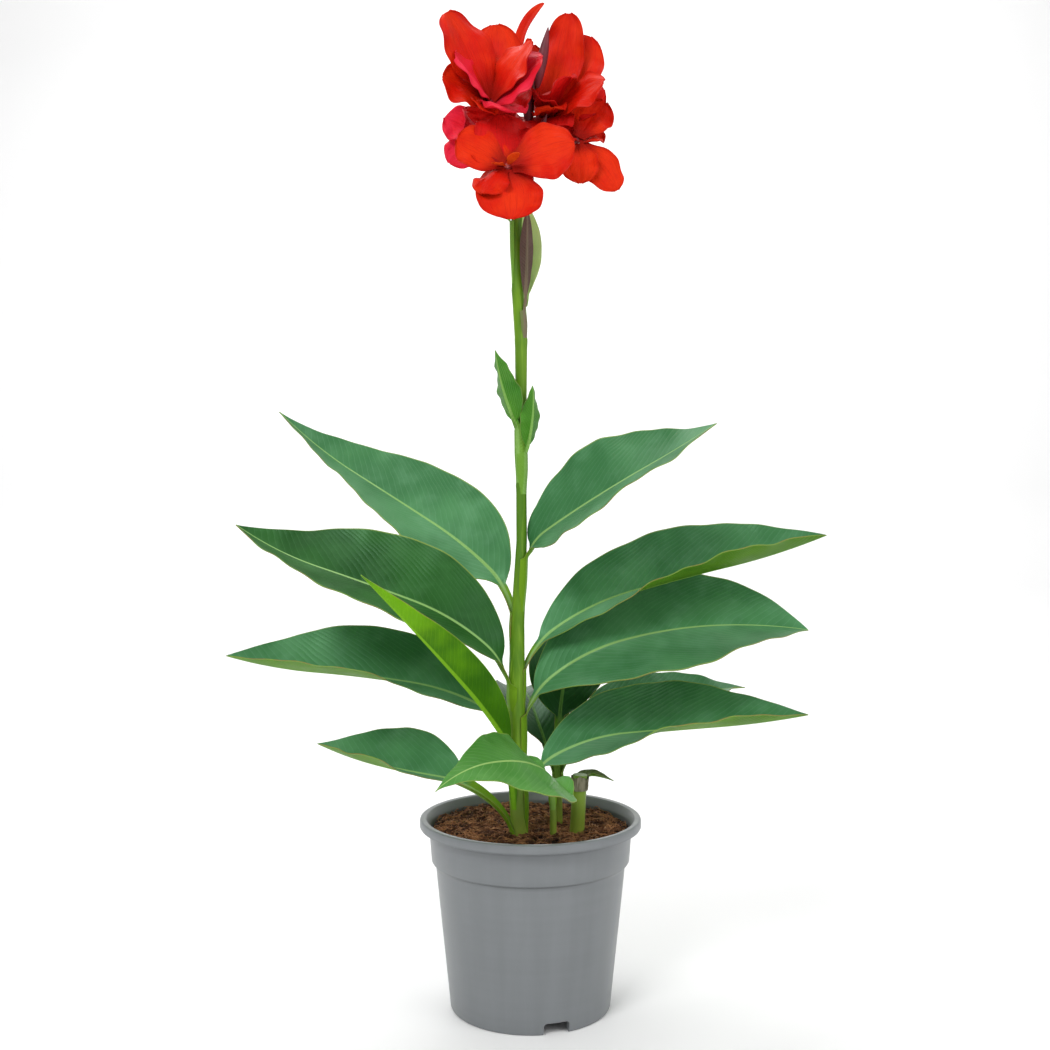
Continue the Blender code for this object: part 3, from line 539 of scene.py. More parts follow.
# sheath: foot, top, facing and wrap; turn and rise: heading and slope at 0, 15, 40, 70 and 100 per cent of the
# free length; left and right: lift of each half at base, middle and tip; waves: edge wave in mm and its length.
LEAVES = {
    "leaf_upper_left": dict(
        sheath=(306, 339, 135, 150), petiole=28, blade=290, width=100, peak=0.36,
        turn=(135, 133, 147, 160, 167), rise=(70, 32, 27, 30, 44),
        left=(-20, -8, 0), right=(50, 48, 35), waves=(0.8, 70)),
    "leaf_upper_right": dict(
        sheath=(341, 385, -20, 150), petiole=10, blade=190, width=106, peak=0.42,
        turn=(-20, -25, -24, -18, -12), rise=(75, 34, 31, 29, 34),
        left=(60, 55, 30), right=(-40, -22, -15), waves=(1.5, 66)),
    "leaf_second_left": dict(
        sheath=(258, 278, 210, 130), petiole=20, blade=264, width=108, peak=0.42,
        turn=(205, 184, 173, 168, 166), rise=(80, 42, 20, 17, 33),
        left=(-20, -12, 0), right=(52, 54, 42), waves=(1.2, 80), finish="deep"),
    "leaf_second_right": dict(
        sheath=(258, 292, 24, 130), petiole=24, blade=269, width=100, peak=0.5,
        turn=(24, 12, 4, 2, 0), rise=(68, 34, 16, 13, 22),
        left=(50, 52, 50), right=(-22, 10, 25), waves=(1.6, 74)),
    "leaf_third_left": dict(
        sheath=(217, 233, 160, 130), petiole=26, blade=240, width=96, peak=0.48,
        turn=(160, 158, 174, 178, 182), rise=(70, 22, 8, 4, 16),
        left=(-15, 10, 18), right=(50, 55, 48), waves=(1.0, 76)),
    "leaf_third_right": dict(
        sheath=(205, 253, 0, 130), petiole=18, blade=258, width=124, peak=0.5,
        turn=(0, 4, 8, 10, 12), rise=(75, 38, 14, 1, -9),
        left=(45, 45, 48), right=(-35, -28, -8), waves=(1.6, 82)),
    "leaf_young_rolled": dict(
        sheath=(176, 215, 238, 60), petiole=16, blade=206, width=46, peak=0.42,
        turn=(238, 228, 221, 214, 208), rise=(72, 50, 45, 45, 45),
        left=(55, 50, 30), right=(50, 50, 30), waves=(0.5, 60), finish="young", slot="leaf_young"),
    "leaf_lowest_right": dict(
        sheath=(154, 192, 12, 130), petiole=22, blade=231, width=100, peak=0.46,
        turn=(12, 4, -4, -6, -8), rise=(70, 28, 6, 5, 12),
        left=(42, 42, 34), right=(-32, 8, 22), waves=(1.3, 70)),
    "leaf_lowest_left": dict(
        sheath=(153, 157, 175, 130), petiole=56, blade=142, width=84, peak=0.44,
        turn=(180, 178, 158, 162, 160), rise=(68, 42, 4, 9, 19),
        left=(0, 18, 22), right=(40, 42, 34), neck=8.5, waves=(1.0, 60)),
    "leaf_front": dict(
        on="shoot_thin", sheath=(176, 190, 270, 130), petiole=20, blade=142, width=86, peak=0.29,
        turn=(270, 258, 232, 216, 194), rise=(70, 30, 20, -2, -42),
        left=(-42, -36, -30), right=(30, 22, 10), waves=(1.4, 56), finish="light", slot="leaf_light"),
    "leaf_back_right": dict(
        on="shoot_middle", sheath=(184, 198, 10, 120), petiole=30, blade=190, width=84,
        turn=(10, 28, 31, 30, 30), rise=(70, 34, 12, 6, -3),
        left=(30, 30, 20), right=(-10, 0, 10), waves=(1.4, 60)),
    "leaf_back_dark": dict(
        on="shoot_middle", sheath=(184, 198, 150, 120), petiole=24, blade=122, width=74,
        turn=(150, 118, 104, 100, 96), rise=(75, 55, 30, 5, -15),
        left=(20, 20, 10), right=(20, 20, 10), waves=(1.4, 60), finish="dark", slot="leaf_dark"),
    "leaf_back_tall": dict(
        on="shoot_middle", sheath=(204, 219, 66, 180), petiole=26, blade=112, width=70,
        turn=(66, 74, 66, 56, 46), rise=(88, 78, 62, 42, 20),
        left=(30, 20, 10), right=(-10, -10, 0), waves=(1.4, 60), finish="dark", slot="leaf_dark"),
    "leaf_small_olive": dict(
        on="shoot_cut", sheath=(166, 180, 100, 60), petiole=14, blade=38, width=15,
        turn=(100, 90, 40, 5, 0), rise=(62, 70, 24, -14, -24),
        left=(25, 20, 10), right=(10, 10, 5), waves=(0.4, 20), finish="olive", slot="leaf_olive"),
}
LEAF_PEAK = 0.42
LEAF_NECK = 4.2
LEAF_GROOVE = 0.7
LAMINA = 0.7
RIB = 2.2
SHEATH_GAP = 0.4
SHEATH_THICKNESS = 0.9
LEAF_KNOTS = (0.0, 0.15, 0.4, 0.7, 1.0)
BLADE_CUP = 10.0


def smooth(t):
    t = min(max(t, 0.0), 1.0)
    return t * t * (3 - 2 * t)


def upward(turn, rise):
    return heading(turn, rise + 90)


def sideways(turn):
    return heading(turn + 90, 0)


def blade_outline(u, peak):
    """Half width of a blade along its length, 1 at the widest place."""
    u = min(max(u, 0.0), 1.0)
    rise = 1.9 * peak
    fall = 1.9 * (1 - peak)
    return (u ** rise) * ((1 - u) ** fall) / ((peak ** rise) * ((1 - peak) ** fall))


def grow_leaf(name, spec, run, blade_rows=84, half_columns=14):
    """One leaf laid from its foot to its tip, then given its thickness and its raised rib below."""
    low, high, facing, wrap = spec["sheath"]
    peak = spec.get("peak", LEAF_PEAK)
    stations = []
    sheath_rows = max(6, int((high - low) / ROW_STEP))
    for i in range(sheath_rows + 1):
        centre, radius = run_at(run, low + (high - low) * i / sheath_rows)
        radius += SHEATH_GAP - (SHEATH_GAP + SHEATH_THICKNESS) * (1 - smooth(i / sheath_rows * 1.5))
        opening = 0.62 + 0.38 * smooth(i / sheath_rows * 2)
        stations.append(dict(
            centre=centre + heading(facing, 0) * radius, normal=-heading(facing, 0), side=sideways(facing),
            half=math.radians(wrap) / 2 * radius * opening, curl=1 / radius, left=0.0, right=0.0, cup=0.0,
            flat=0.0, rib=SHEATH_THICKNESS, u=-1.0, gone=(high - low) * i / sheath_rows, groove=0.0))
    last = stations[-1]
    point = last["centre"].copy()
    petiole = spec["petiole"]
    blade = spec["blade"]
    free = petiole + blade

    def slope_at(way):
        return (float(np.interp(way / free, LEAF_KNOTS, spec[k])) for k in ("turn", "rise"))

    stalk_rows = max(6, int(petiole / ROW_STEP))
    marks = [petiole * (i + 1) / stalk_rows for i in range(stalk_rows)]
    marks += [petiole + blade * 0.999 * (i + 1) / blade_rows for i in range(blade_rows)]
    travelled = 0.0
    for mark in marks:
        turn, rise = slope_at((travelled + mark) / 2)
        point = point + heading(turn, rise) * (mark - travelled)
        travelled = mark
        turn, rise = slope_at(mark)
        u = (mark - petiole) / blade
        flat = smooth((mark / petiole) * 0.5 + max(u, 0) * 4)
        grow = blade_outline(u, peak) * spec["width"] / 2
        neck = spec.get("neck", LEAF_NECK) * min(1.0, spec["width"] / 40) * (1 - max(u, 0)) ** 2
        settle_in = smooth(mark / petiole)
        stations.append(dict(
            centre=point.copy(), normal=upward(turn, rise), side=sideways(turn), half=max(grow, neck, 0.25),
            curl=last["curl"] * (1 - flat) * 0.8, cup=BLADE_CUP * flat, flat=flat, u=u, gone=high - low + mark,
            left=float(np.interp(u, (0, 0.5, 1), spec["left"])) * flat,
            right=float(np.interp(u, (0, 0.5, 1), spec["right"])) * flat,
            rib=LAMINA + (RIB - LAMINA) * (1 - max(u, 0)) * settle_in,
            groove=LEAF_GROOVE * (1 - max(u, 0)) * settle_in))
    swing, period = spec["waves"]
    phase = sum(ord(c) for c in name) % 7
    table = []
    for s in stations:
        row = {0: (s["centre"] - s["normal"] * s["groove"], 0.0, 0.0)}
        for sign, lift in ((1, s["left"]), (-1, s["right"])):
            place = s["centre"].copy()
            was = 0.0
            for j in range(1, half_columns + 1):
                v = (j / half_columns) ** 1.3
                middle = (v + was) / 2
                bend = math.radians(lift + s["cup"] * middle) + middle * s["half"] * s["curl"]
                step = (v - was) * s["half"]
                place = place + (s["side"] * sign * math.cos(bend) + s["normal"] * math.sin(bend)) * step
                was = v
                out = s["normal"] * math.cos(bend) - s["side"] * sign * math.sin(bend)
                beat = 2 * math.pi * s["gone"] / period + phase + 1.9 * sign
                wave = swing * (math.sin(beat) + 0.5 * math.sin(2.3 * beat + 1)) * v ** 2.2
                taper = min(1.0, 4 * max(s["u"], 0)) * min(1.0, 5 * (1 - max(s["u"], 0)))
                row[sign * j] = (place + out * wave * taper, sign * v, sign * v * s["half"])
        along = 0.25 * min(s["gone"] / (high - low + petiole), 1.0) + 0.75 * max(s["u"], 0)
        table.append([(row[j][0], along, row[j][1], s["gone"], row[j][2])
                      for j in range(-half_columns, half_columns + 1)])
    piece, spots = lay_grid(name, table)
    rib = piece.vertex_groups.new(name="rib")
    rows = {round(s["gone"], 4): s["rib"] for s in stations}
    for index, spot in enumerate(spots):
        height = rows[round(spot[3], 4)]
        if spot[2] == 0.0 or spot[1] <= 0.0 or height == SHEATH_THICKNESS:
            share = (height - LAMINA) / (RIB - LAMINA)
        else:
            share = 0.0
        rib.add([index], max(0.0, min(1.0, share)), "REPLACE")
    for finish in range(3):
        piece.data.materials.append(None)
    apply_step(piece, "SOLIDIFY", thickness=RIB * MM, offset=-1, vertex_group="rib",
               thickness_vertex_group=LAMINA / RIB, material_offset=1, material_offset_rim=2)
    bpy.ops.object.shade_smooth_by_angle(angle=math.radians(60))
    return piece


def make_vein_group():
    """Masks over a blade: side veins, fine veins, midrib, edge and the way from stalk to blade."""
    group = bpy.data.node_groups.new("blade_veins", "ShaderNodeTree")
    for label, value in (("Spacing", 8.0), ("Lean", 0.9), ("Sweep", 0.018)):
        group.interface.new_socket(label, in_out="INPUT", socket_type="NodeSocketFloat").default_value = value
    for label in ("Side Veins", "Fine Veins", "Midrib", "Edge", "Stalk", "Length", "Relief"):
        group.interface.new_socket(label, in_out="OUTPUT", socket_type="NodeSocketFloat")
    given = group.nodes.new("NodeGroupInput").outputs
    result = group.nodes.new("NodeGroupOutput").inputs
    parts = {}
    for label in ("shares", "lengths"):
        layer = group.nodes.new("ShaderNodeUVMap")
        layer.uv_map = label
        split = group.nodes.new("ShaderNodeSeparateXYZ")
        group.links.new(layer.outputs[0], split.inputs[0])
        parts[label] = split.outputs
        parts[label + " map"] = layer.outputs[0]
    along = times(group, parts["lengths"]["X"], UV_SPAN)
    aside = calc(group, "SUBTRACT", parts["lengths"]["Y"], 0.5)
    aside = calc(group, "ABSOLUTE", times(group, aside, UV_SPAN))
    across = calc(group, "ABSOLUTE", calc(group, "MULTIPLY_ADD", parts["shares"]["Y"], 2.0, -1.0))
    wobble = grain(group, (14, 22, 1), 2.0, parts["lengths map"])
    reach = calc(group, "MULTIPLY_ADD", times(group, aside, aside), given["Sweep"],
                 times(group, aside, given["Lean"]))
    vein = calc(group, "DIVIDE", calc(group, "SUBTRACT", along, reach), given["Spacing"])
    vein = calc(group, "MULTIPLY_ADD", wobble, 1.2, vein)
    broad = calc(group, "ABSOLUTE", calc(group, "SINE", times(group, vein, math.pi)))
    fine = calc(group, "ABSOLUTE", calc(group, "SINE", times(group, vein, 5 * math.pi)))
    tip = calc(group, "SUBTRACT", 1.0, parts["shares"]["X"])
    girth = calc(group, "MULTIPLY_ADD", tip, 1.5, 0.35)
    rib = share_of(group, calc(group, "DIVIDE", aside, girth), 0.7, 1.5, 1.0, 0.0)
    blade = share_of(group, parts["shares"]["X"], 0.22, 0.3)
    broad_mask = times(group, share_of(group, broad, 0.0, 0.34, 1.0, 0.0), blade)
    fine_mask = times(group, share_of(group, fine, 0.0, 0.5, 1.0, 0.0), blade)
    edge = times(group, share_of(group, across, 0.972, 0.992), blade)
    feed(group, result["Side Veins"], broad_mask)
    feed(group, result["Fine Veins"], fine_mask)
    feed(group, result["Midrib"], rib)
    feed(group, result["Edge"], edge)
    feed(group, result["Length"], parts["shares"]["X"])
    feed(group, result["Stalk"], share_of(group, parts["shares"]["X"], 0.225, 0.262, 1.0, 0.0))
    feed(group, result["Relief"], plus(group, times(group, broad, 0.8), times(group, fine, 0.12)))
    return group


vein_group = make_vein_group()
STALK_GREEN = (0.15, 0.3, 0.014)
RIB_PALE = (0.27, 0.47, 0.14)
EDGE_PALE = (0.35, 0.44, 0.09)


def make_blade_finish(name, deep, mid, pale, rib=RIB_PALE, edge=EDGE_PALE, stalk=STALK_GREEN, vein_share=0.2,
                      relief=0.11, rough=(0.34, 0.48), spacing=8.0, gloss=0.4, foot_shade=0.0):
    """Blade colours from deep to pale, with pale patches of painted sheen, pale veins, rib, edge and stalk, and
    a foot darkened as painted shade.
    """
    made, tree, shader = new_finish(name, gloss=gloss, glint=(0.45, 0.85, 0.55))
    veins = tree.nodes.new("ShaderNodeGroup")
    veins.node_tree = vein_group
    veins.inputs["Spacing"].default_value = spacing
    masks = veins.outputs
    clouds = grain(tree, (16, 16, 16))
    bloom_and_sheen = grain(tree, (45, 45, 45), 4.0)
    body = mix_colour(tree, share_of(tree, clouds, 0.36, 0.66), deep, mid)
    # Painted sheen: pale bluish-green patches stand in for the sheen the lamps draw on the waxy leaf.
    body = mix_colour(tree, share_of(tree, bloom_and_sheen, 0.45, 0.75, 0.0, 0.22), body, pale)
    body = mix_colour(tree, times(tree, masks["Fine Veins"], vein_share * 0.4), body, pale)
    body = mix_colour(tree, times(tree, masks["Side Veins"], vein_share), body, pale)
    body = mix_colour(tree, share_of(tree, masks["Length"], 0.3, 0.8, foot_shade, 0.0), body, deep)
    body = mix_colour(tree, masks["Stalk"], body, stalk)
    body = mix_colour(tree, times(tree, masks["Midrib"], 0.85), body, rib)
    body = mix_colour(tree, times(tree, masks["Edge"], 0.55), body, edge)
    dress(tree, shader, body, share_of(tree, bloom_and_sheen, 0.3, 0.7, *rough), masks["Relief"], relief * MM)
    return made


leaf_under = make_blade_finish(
    "leaf_underside", (0.07, 0.195, 0.008), (0.11, 0.26, 0.012), (0.18, 0.35, 0.05),
    (0.24, 0.43, 0.09), EDGE_PALE, STALK_GREEN, 0.25, 0.2, (0.5, 0.62), 8.0, 0.1)
leaf_edge, tree, shader = new_finish("leaf_edge", gloss=0.4)
patch = grain(tree, (60, 60, 60))
dress(tree, shader, mix_colour(
    tree, share_of(tree, patch, 0.4, 0.62), (0.15, 0.27, 0.03), (0.2, 0.18, 0.035)),
      share_of(tree, patch, 0.3, 0.7, 0.5, 0.65))
LEAF_FINISHES = {
    "green": make_blade_finish(
        "leaf_green", (0.036, 0.152, 0.048), (0.066, 0.222, 0.08), (0.15, 0.35, 0.19)),
    "deep": make_blade_finish(
        "leaf_deep_green", (0.008, 0.056, 0.005), (0.018, 0.098, 0.012), (0.06, 0.195, 0.055)),
    "dark": make_blade_finish(
        "leaf_dark", (0.008, 0.05, 0.008), (0.014, 0.075, 0.014), (0.04, 0.135, 0.04),
        (0.12, 0.25, 0.05), (0.16, 0.22, 0.04), (0.11, 0.23, 0.02), 0.22, 0.16),
    "light": make_blade_finish(
        "leaf_light", (0.052, 0.2, 0.026), (0.08, 0.26, 0.04), (0.19, 0.4, 0.12),
        (0.33, 0.52, 0.15), (0.36, 0.45, 0.08), STALK_GREEN, 0.24, 0.16),
    "young": make_blade_finish(
        "leaf_young", (0.022, 0.105, 0.001), (0.085, 0.26, 0.002), (0.18, 0.42, 0.006),
        (0.24, 0.48, 0.02), (0.3, 0.46, 0.03), (0.12, 0.29, 0.006), 0.25, 0.15, (0.4, 0.52), 5.0,
        foot_shade=0.85),
    "olive": make_blade_finish(
        "leaf_olive", (0.085, 0.12, 0.03), (0.125, 0.165, 0.04), (0.21, 0.23, 0.09),
        (0.26, 0.28, 0.11), (0.28, 0.26, 0.1), (0.17, 0.23, 0.045), 0.35, 0.3, (0.5, 0.6), 4.0),
}
young_under = make_blade_finish(
    "leaf_young_underside", (0.03, 0.125, 0.001), (0.14, 0.37, 0.002), (0.23, 0.49, 0.008),
    (0.19, 0.42, 0.014), (0.3, 0.46, 0.03), (0.08, 0.22, 0.004), 0.2, 0.15, (0.42, 0.55), 5.0,
    gloss=0.2, foot_shade=0.85)
for leaf_name, leaf_spec in LEAVES.items():
    leaf_run = SHOOT_RUNS[leaf_spec["on"]] if "on" in leaf_spec else STEM_RUN
    leaf = grow_leaf(f"{leaf_name}_blade", leaf_spec, leaf_run)
    kind = leaf_spec.get("finish", "green")
    settle(leaf, [leaf_name],
           [LEAF_FINISHES[kind], young_under if kind == "young" else leaf_under, leaf_edge])

# ---------------------------------------------------------------- stalk leaf and bracts
# Half way up the bare stalk a small leaf is still wrapped and twisted round it, and at the fork under the
# flowers sit thin bracts: a green one, a pale one and a dull purple one. They grow from the stalk.
STALK_LEAVES = {
    "leaf_twisted": dict(
        sheath=(448, 494, 235, 200), petiole=8, blade=62, width=36, peak=0.42,
        turn=(228, 224, 214, 208, 204), rise=(66, 62, 68, 76, 80),
        left=(8, 12, 10), right=(8, 12, 10), waves=(1.0, 26), finish="wrap", slot="stem_green"),
    "leaf_twisted_fold": dict(
        sheath=(440, 474, 318, 180), petiole=6, blade=52, width=24, peak=0.45,
        turn=(318, 318, 316, 322, 330), rise=(74, 72, 78, 88, 96),
        left=(6, 10, 10), right=(6, 10, 10), waves=(0.8, 24), finish="wrap", slot="stem_green"),
    "bract_green": dict(
        sheath=(618, 670, 185, 130), petiole=4, blade=18, width=12, peak=0.42,
        turn=(185, 185, 185, 185, 185), rise=(82, 82, 84, 84, 84),
        left=(20, 16, 10), right=(20, 16, 10), waves=(0.2, 14), finish="wrap", slot="stem_green"),
    "bract_pale": dict(
        sheath=(572, 598, 16, 90), petiole=8, blade=80, width=27, peak=0.5,
        turn=(40, 74, 84, 88, 92), rise=(78, 80, 86, 90, 94),
        left=(20, 16, 10), right=(20, 16, 10), waves=(0.3, 30), finish="pale", slot="bract_pale"),
    "bract_purple": dict(
        sheath=(570, 594, -42, 80), petiole=8, blade=76, width=12, peak=0.55,
        turn=(-42, -60, -72, -74, -74), rise=(78, 82, 86, 88, 89),
        left=(20, 16, 10), right=(20, 16, 10), waves=(0.3, 30), finish="purple", slot="bract_purple"),
}
BRACT_FINISHES = {
    "wrap": make_blade_finish(
        "stalk_leaf_green", (0.042, 0.19, 0.01), (0.08, 0.27, 0.018), (0.19, 0.42, 0.07),
        (0.24, 0.44, 0.1), (0.2, 0.26, 0.06), (0.15, 0.32, 0.03), 0.3, 0.25, (0.38, 0.5), 3.0),
    # Painted light: the pale bract's colours are set well above its own pale green, to stand in for light it
    # misses in the shade of the petals.
    "pale": make_blade_finish(
        "bract_pale", (0.52, 0.78, 0.22), (0.62, 0.86, 0.32), (0.72, 0.9, 0.48),
        (0.4, 0.56, 0.22), (0.3, 0.36, 0.16), (0.26, 0.42, 0.11), 0.3, 0.2, (0.45, 0.6), 3.0),
    "purple": make_blade_finish(
        "bract_purple", (0.085, 0.04, 0.036), (0.13, 0.07, 0.06), (0.21, 0.14, 0.12),
        (0.2, 0.15, 0.1), (0.1, 0.05, 0.04), (0.15, 0.17, 0.06), 0.3, 0.2, (0.5, 0.65), 3.0),
}
for leaf_name, leaf_spec in STALK_LEAVES.items():
    leaf = grow_leaf(f"{leaf_name}_wrap", leaf_spec, STEM_RUN, 40, 9)
    settle(leaf, [leaf_name] if leaf_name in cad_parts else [],
           [BRACT_FINISHES[leaf_spec["finish"]]] * 3)

# ---------------------------------------------------------------- flower head
# Five open flowers, each a short dark red tube that grows from the stalk and carries soft red petals with a
# narrow claw, a broad ruffled limb and fine lengthwise veins; the front flower shows its orange stamen.

# petals: heading, slope at base and tip, length, width, roll and fold; inner petals name their finish too.
FLOWERS = {
    "flower_top_left": dict(
        foot=738, throat=(-33, -30, 763), slot="petal_red",
        petals=(
            (202, 66, 56, 76, 46, -66, 10), (84, 54, 88, 76, 44, -4, 10), (-32, 50, 44, 56, 44, 60, 8),
            (212, 20, 14, 44, 38, -64, 8), (256, -16, -34, 28, 22, -30, 6)),
        inner=((226, 44, 30, 50, 48, -52, 10, "petal_pink"), (-32, 30, 30, 58, 50, 60, 10, "petal_pink"),
               (-50, -10, -40, 34, 38, 10, 8, "petal_pink"), (120, 60, 70, 54, 46, -20, 8, "petal_red"),
               (10, 30, 26, 36, 40, 50, 8, "petal_deep"), (278, -70, -85, 20, 36, 0, 8, "petal_deep"))),
    "flower_right": dict(
        foot=746, throat=(14, 9, 762), slot="petal_red",
        petals=(
            (14, 62, 66, 78, 48, 66, 8), (-36, 24, 16, 58, 34, 60, 8), (134, 68, 82, 66, 38, 0, 8),
            (-84, 4, -10, 32, 26, 10, 8)),
        inner=((2, 38, 22, 56, 50, 62, 10, "petal_deep"), (-60, 44, 30, 44, 44, 30, 12, "petal_deep"),
               (60, 60, 70, 66, 52, 10, 8, "petal_red"), (-120, 34, 20, 40, 40, -30, 10, "petal_deep"),
               (6, 74, 82, 92, 36, 66, 10, "petal_red"), (-100, -14, -50, 36, 46, 0, 8, "petal_deep"),
               (226, -60, -80, 24, 38, 0, 8, "petal_deep"))),
    "flower_front": dict(
        foot=698, throat=(-19, -50, 706), slot="petal_red",
        petals=(
            (194, 28, 24, 43, 36, -70, 6), (-10, 20, 12, 54, 44, 72, 6), (278, -60, -80, 46, 48, 0, 6),
            (226, -26, -62, 36, 26, -30, -14)),
        inner=((110, 66, 74, 50, 46, 0, 8, "petal_deep"), (168, 48, 40, 38, 40, -50, 8, "petal_red"),
               (60, 56, 60, 42, 40, 20, 8, "petal_deep"), (92, -72, -86, 22, 38, 0, 8, "petal_deep"))),
    "flower_left": dict(
        foot=722, throat=(-38, -4, 740), slot="petal_pink",
        petals=(
            (174, 34, 26, 37, 32, -66, 8), (186, -26, -42, 34, 30, -66, 8), (100, 24, 20, 28, 22, 0, 8)),
        inner=((-150, 52, 40, 32, 34, -50, 8, "petal_pink"), (-60, 8, -6, 30, 30, 20, 8, "petal_red"),
               (10, 40, 50, 36, 34, 40, 8, "petal_deep"))),
    "flower_lower_right": dict(
        foot=712, throat=(39, -8, 738), slot="petal_red",
        petals=(
            (8, 58, 50, 38, 32, 68, 8), (-12, -46, -58, 52, 28, 68, 6), (-78, -60, -84, 38, 28, 20, 6)),
        inner=((40, 40, 30, 28, 30, 40, 8, "petal_red"), (-150, 10, -10, 22, 20, -20, 8, "petal_deep"),
               (96, 50, 66, 24, 30, 0, 8, "petal_deep"))),
}
FRONT_STAMENS = {
    "flower_front_stamen": (292, 24, 4, 20, 8, 0, 10),
    "flower_front_style": (232, 4, -10, 16, 6, 0, 10),
}
CLAW = 3.3
INNER_LAP = 0.8
PETAL_THICKNESS = 0.7
PETAL_FULLNESS = 1.14


def petal_outline(u):
    """Petal half width: a narrow claw that opens to a broad rounded limb."""
    claw = 0.34 + 0.66 * smooth(u / 0.46)
    tip = math.sqrt(max(0.0, 1 - max(0.0, (u - 0.58) / 0.425) ** 2))
    return claw * tip


def grow_petal(name, foot, spec, rows=34, half_columns=12, ruffle=2.4):
    """One petal laid from its claw to its tip, with a ruffled limb, then given its thickness."""
    turn, rise_base, rise_tip, length, width, roll, fold = spec
    phase = (sum(ord(c) for c in name) * 0.73) % 6.28
    point = foot.copy()
    travelled = 0.0
    table = []
    for i in range(rows + 1):
        u = i / rows
        mark = length * u
        rise = rise_base + (rise_tip - rise_base) * (u + travelled / length) / 2
        point = point + heading(turn, rise) * (mark - travelled)
        travelled = mark
        rise = rise_base + (rise_tip - rise_base) * u
        normal = upward(turn, rise)
        side = sideways(turn)
        c = math.cos(math.radians(roll))
        s = math.sin(math.radians(roll))
        normal, side = normal * c - side * s, side * c + normal * s
        wave = 7 * math.sin(u * 7 + turn)
        half = max(petal_outline(u) * width * PETAL_FULLNESS / 2, 0.6 + 0.7 * (1 - u))
        size = min(1.0, width / 30)
        crease = 0.5 * size * smooth(u * 4) * smooth((1 - u) * 3)
        row = {0: (point - normal * crease, 0.0, 0.0)}
        for sign in (1, -1):
            place = point.copy()
            was = 0.0
            lift = fold + sign * wave * u
            for j in range(1, half_columns + 1):
                v = j / half_columns
                middle = (v + was) / 2
                bend = math.radians(lift - 14 * u * middle)
                place = place + (side * sign * math.cos(bend) + normal * math.sin(bend)) * (v - was) * half
                was = v
                out = normal * math.cos(bend) - side * sign * math.sin(bend)
                beat = 9.5 * u + phase + 2.1 * sign
                frill = ruffle * size * (math.sin(beat) + 0.55 * math.sin(2.1 * beat + 1.3))
                frill = frill * v ** 1.8 * smooth(u * 1.6)
                fold_line = 0.7 * size * math.sin(3.3 * math.pi * v + 4 * u + phase) * smooth(u * 2) * v
                row[sign * j] = (place + out * (frill + fold_line), sign * v, sign * v * half)
        table.append([(row[j][0], u, row[j][1], mark, row[j][2])
                      for j in range(-half_columns, half_columns + 1)])
    piece = lay_grid(name, table)[0]
    apply_step(piece, "SOLIDIFY", thickness=PETAL_THICKNESS * MM, offset=-1)
    bpy.ops.object.shade_smooth_by_angle(angle=math.radians(60))
    return piece


def make_petal_group():
    """Masks over a petal: lengthwise veins, the throat end and the edge."""
    group = bpy.data.node_groups.new("petal_veins", "ShaderNodeTree")
    for label in ("Veins", "Throat", "Edge", "Relief"):
        group.interface.new_socket(label, in_out="OUTPUT", socket_type="NodeSocketFloat")
    result = group.nodes.new("NodeGroupOutput").inputs
    layer = group.nodes.new("ShaderNodeUVMap")
    layer.uv_map = "shares"
    split = group.nodes.new("ShaderNodeSeparateXYZ")
    group.links.new(layer.outputs[0], split.inputs[0])
    across = calc(group, "ABSOLUTE", calc(group, "MULTIPLY_ADD", split.outputs["Y"], 2.0, -1.0))
    lines = grain(group, (2.2, 46, 1), 3.0, layer.outputs[0])
    crinkle = grain(group, (9, 16, 1), 4.0, layer.outputs[0])
    feed(group, result["Veins"], share_of(group, lines, 0.5, 0.66))
    feed(group, result["Throat"], share_of(group, split.outputs["X"], 0.05, 0.42, 1.0, 0.0))
    feed(group, result["Edge"], share_of(group, across, 0.8, 1.0))
    feed(group, result["Relief"], plus(group, times(group, lines, 0.5), crinkle))
    return group


petal_group = make_petal_group()


def make_petal_finish(name, deep, bright, lit, throat):
    made, tree, shader = new_finish(name, gloss=0.2, glint=(1.0, 0.35, 0.3))
    veins = tree.nodes.new("ShaderNodeGroup")
    veins.node_tree = petal_group
    masks = veins.outputs
    clouds = grain(tree, (34, 34, 34))
    body = mix_colour(tree, share_of(tree, clouds, 0.36, 0.64), bright, lit)
    body = mix_colour(tree, times(tree, masks["Veins"], 0.38), body, deep)
    body = mix_colour(tree, times(tree, masks["Edge"], 0.3), body, deep)
    body = mix_colour(tree, times(tree, masks["Throat"], 0.75), body, throat)
    dress(tree, shader, body, share_of(tree, clouds, 0.3, 0.7, 0.46, 0.6), masks["Relief"], 0.6 * MM)
    return made


PETAL_FINISHES = {
    "petal_red": make_petal_finish(
        "petal_red", (0.38, 0.004, 0.003), (0.6, 0.009, 0.002), (0.71, 0.028, 0.004),
        (0.2, 0.003, 0.003)),
    # Painted highlight: the pinker, lighter red of this finish stands in for the pinkish highlights on the
    # petals of the top-left and left flowers.
    "petal_pink": make_petal_finish(
        "petal_pink", (0.44, 0.004, 0.01), (0.69, 0.009, 0.024), (0.78, 0.022, 0.06),
        (0.24, 0.003, 0.006)),
    "petal_deep": make_petal_finish(
        "petal_deep", (0.26, 0.003, 0.003), (0.52, 0.006, 0.006), (0.68, 0.01, 0.008),
        (0.16, 0.003, 0.005)),
}
stamen_finish = make_petal_finish(
    "stamen_orange", (0.62, 0.03, 0.004), (0.74, 0.06, 0.006), (0.82, 0.12, 0.01),
    (0.56, 0.02, 0.004))
tube_finish, tree, shader = new_finish("calyx_red", gloss=0.45)
warts = grain(tree, (520, 520, 520))
long_lines = grain(tree, (90, 90, 20))
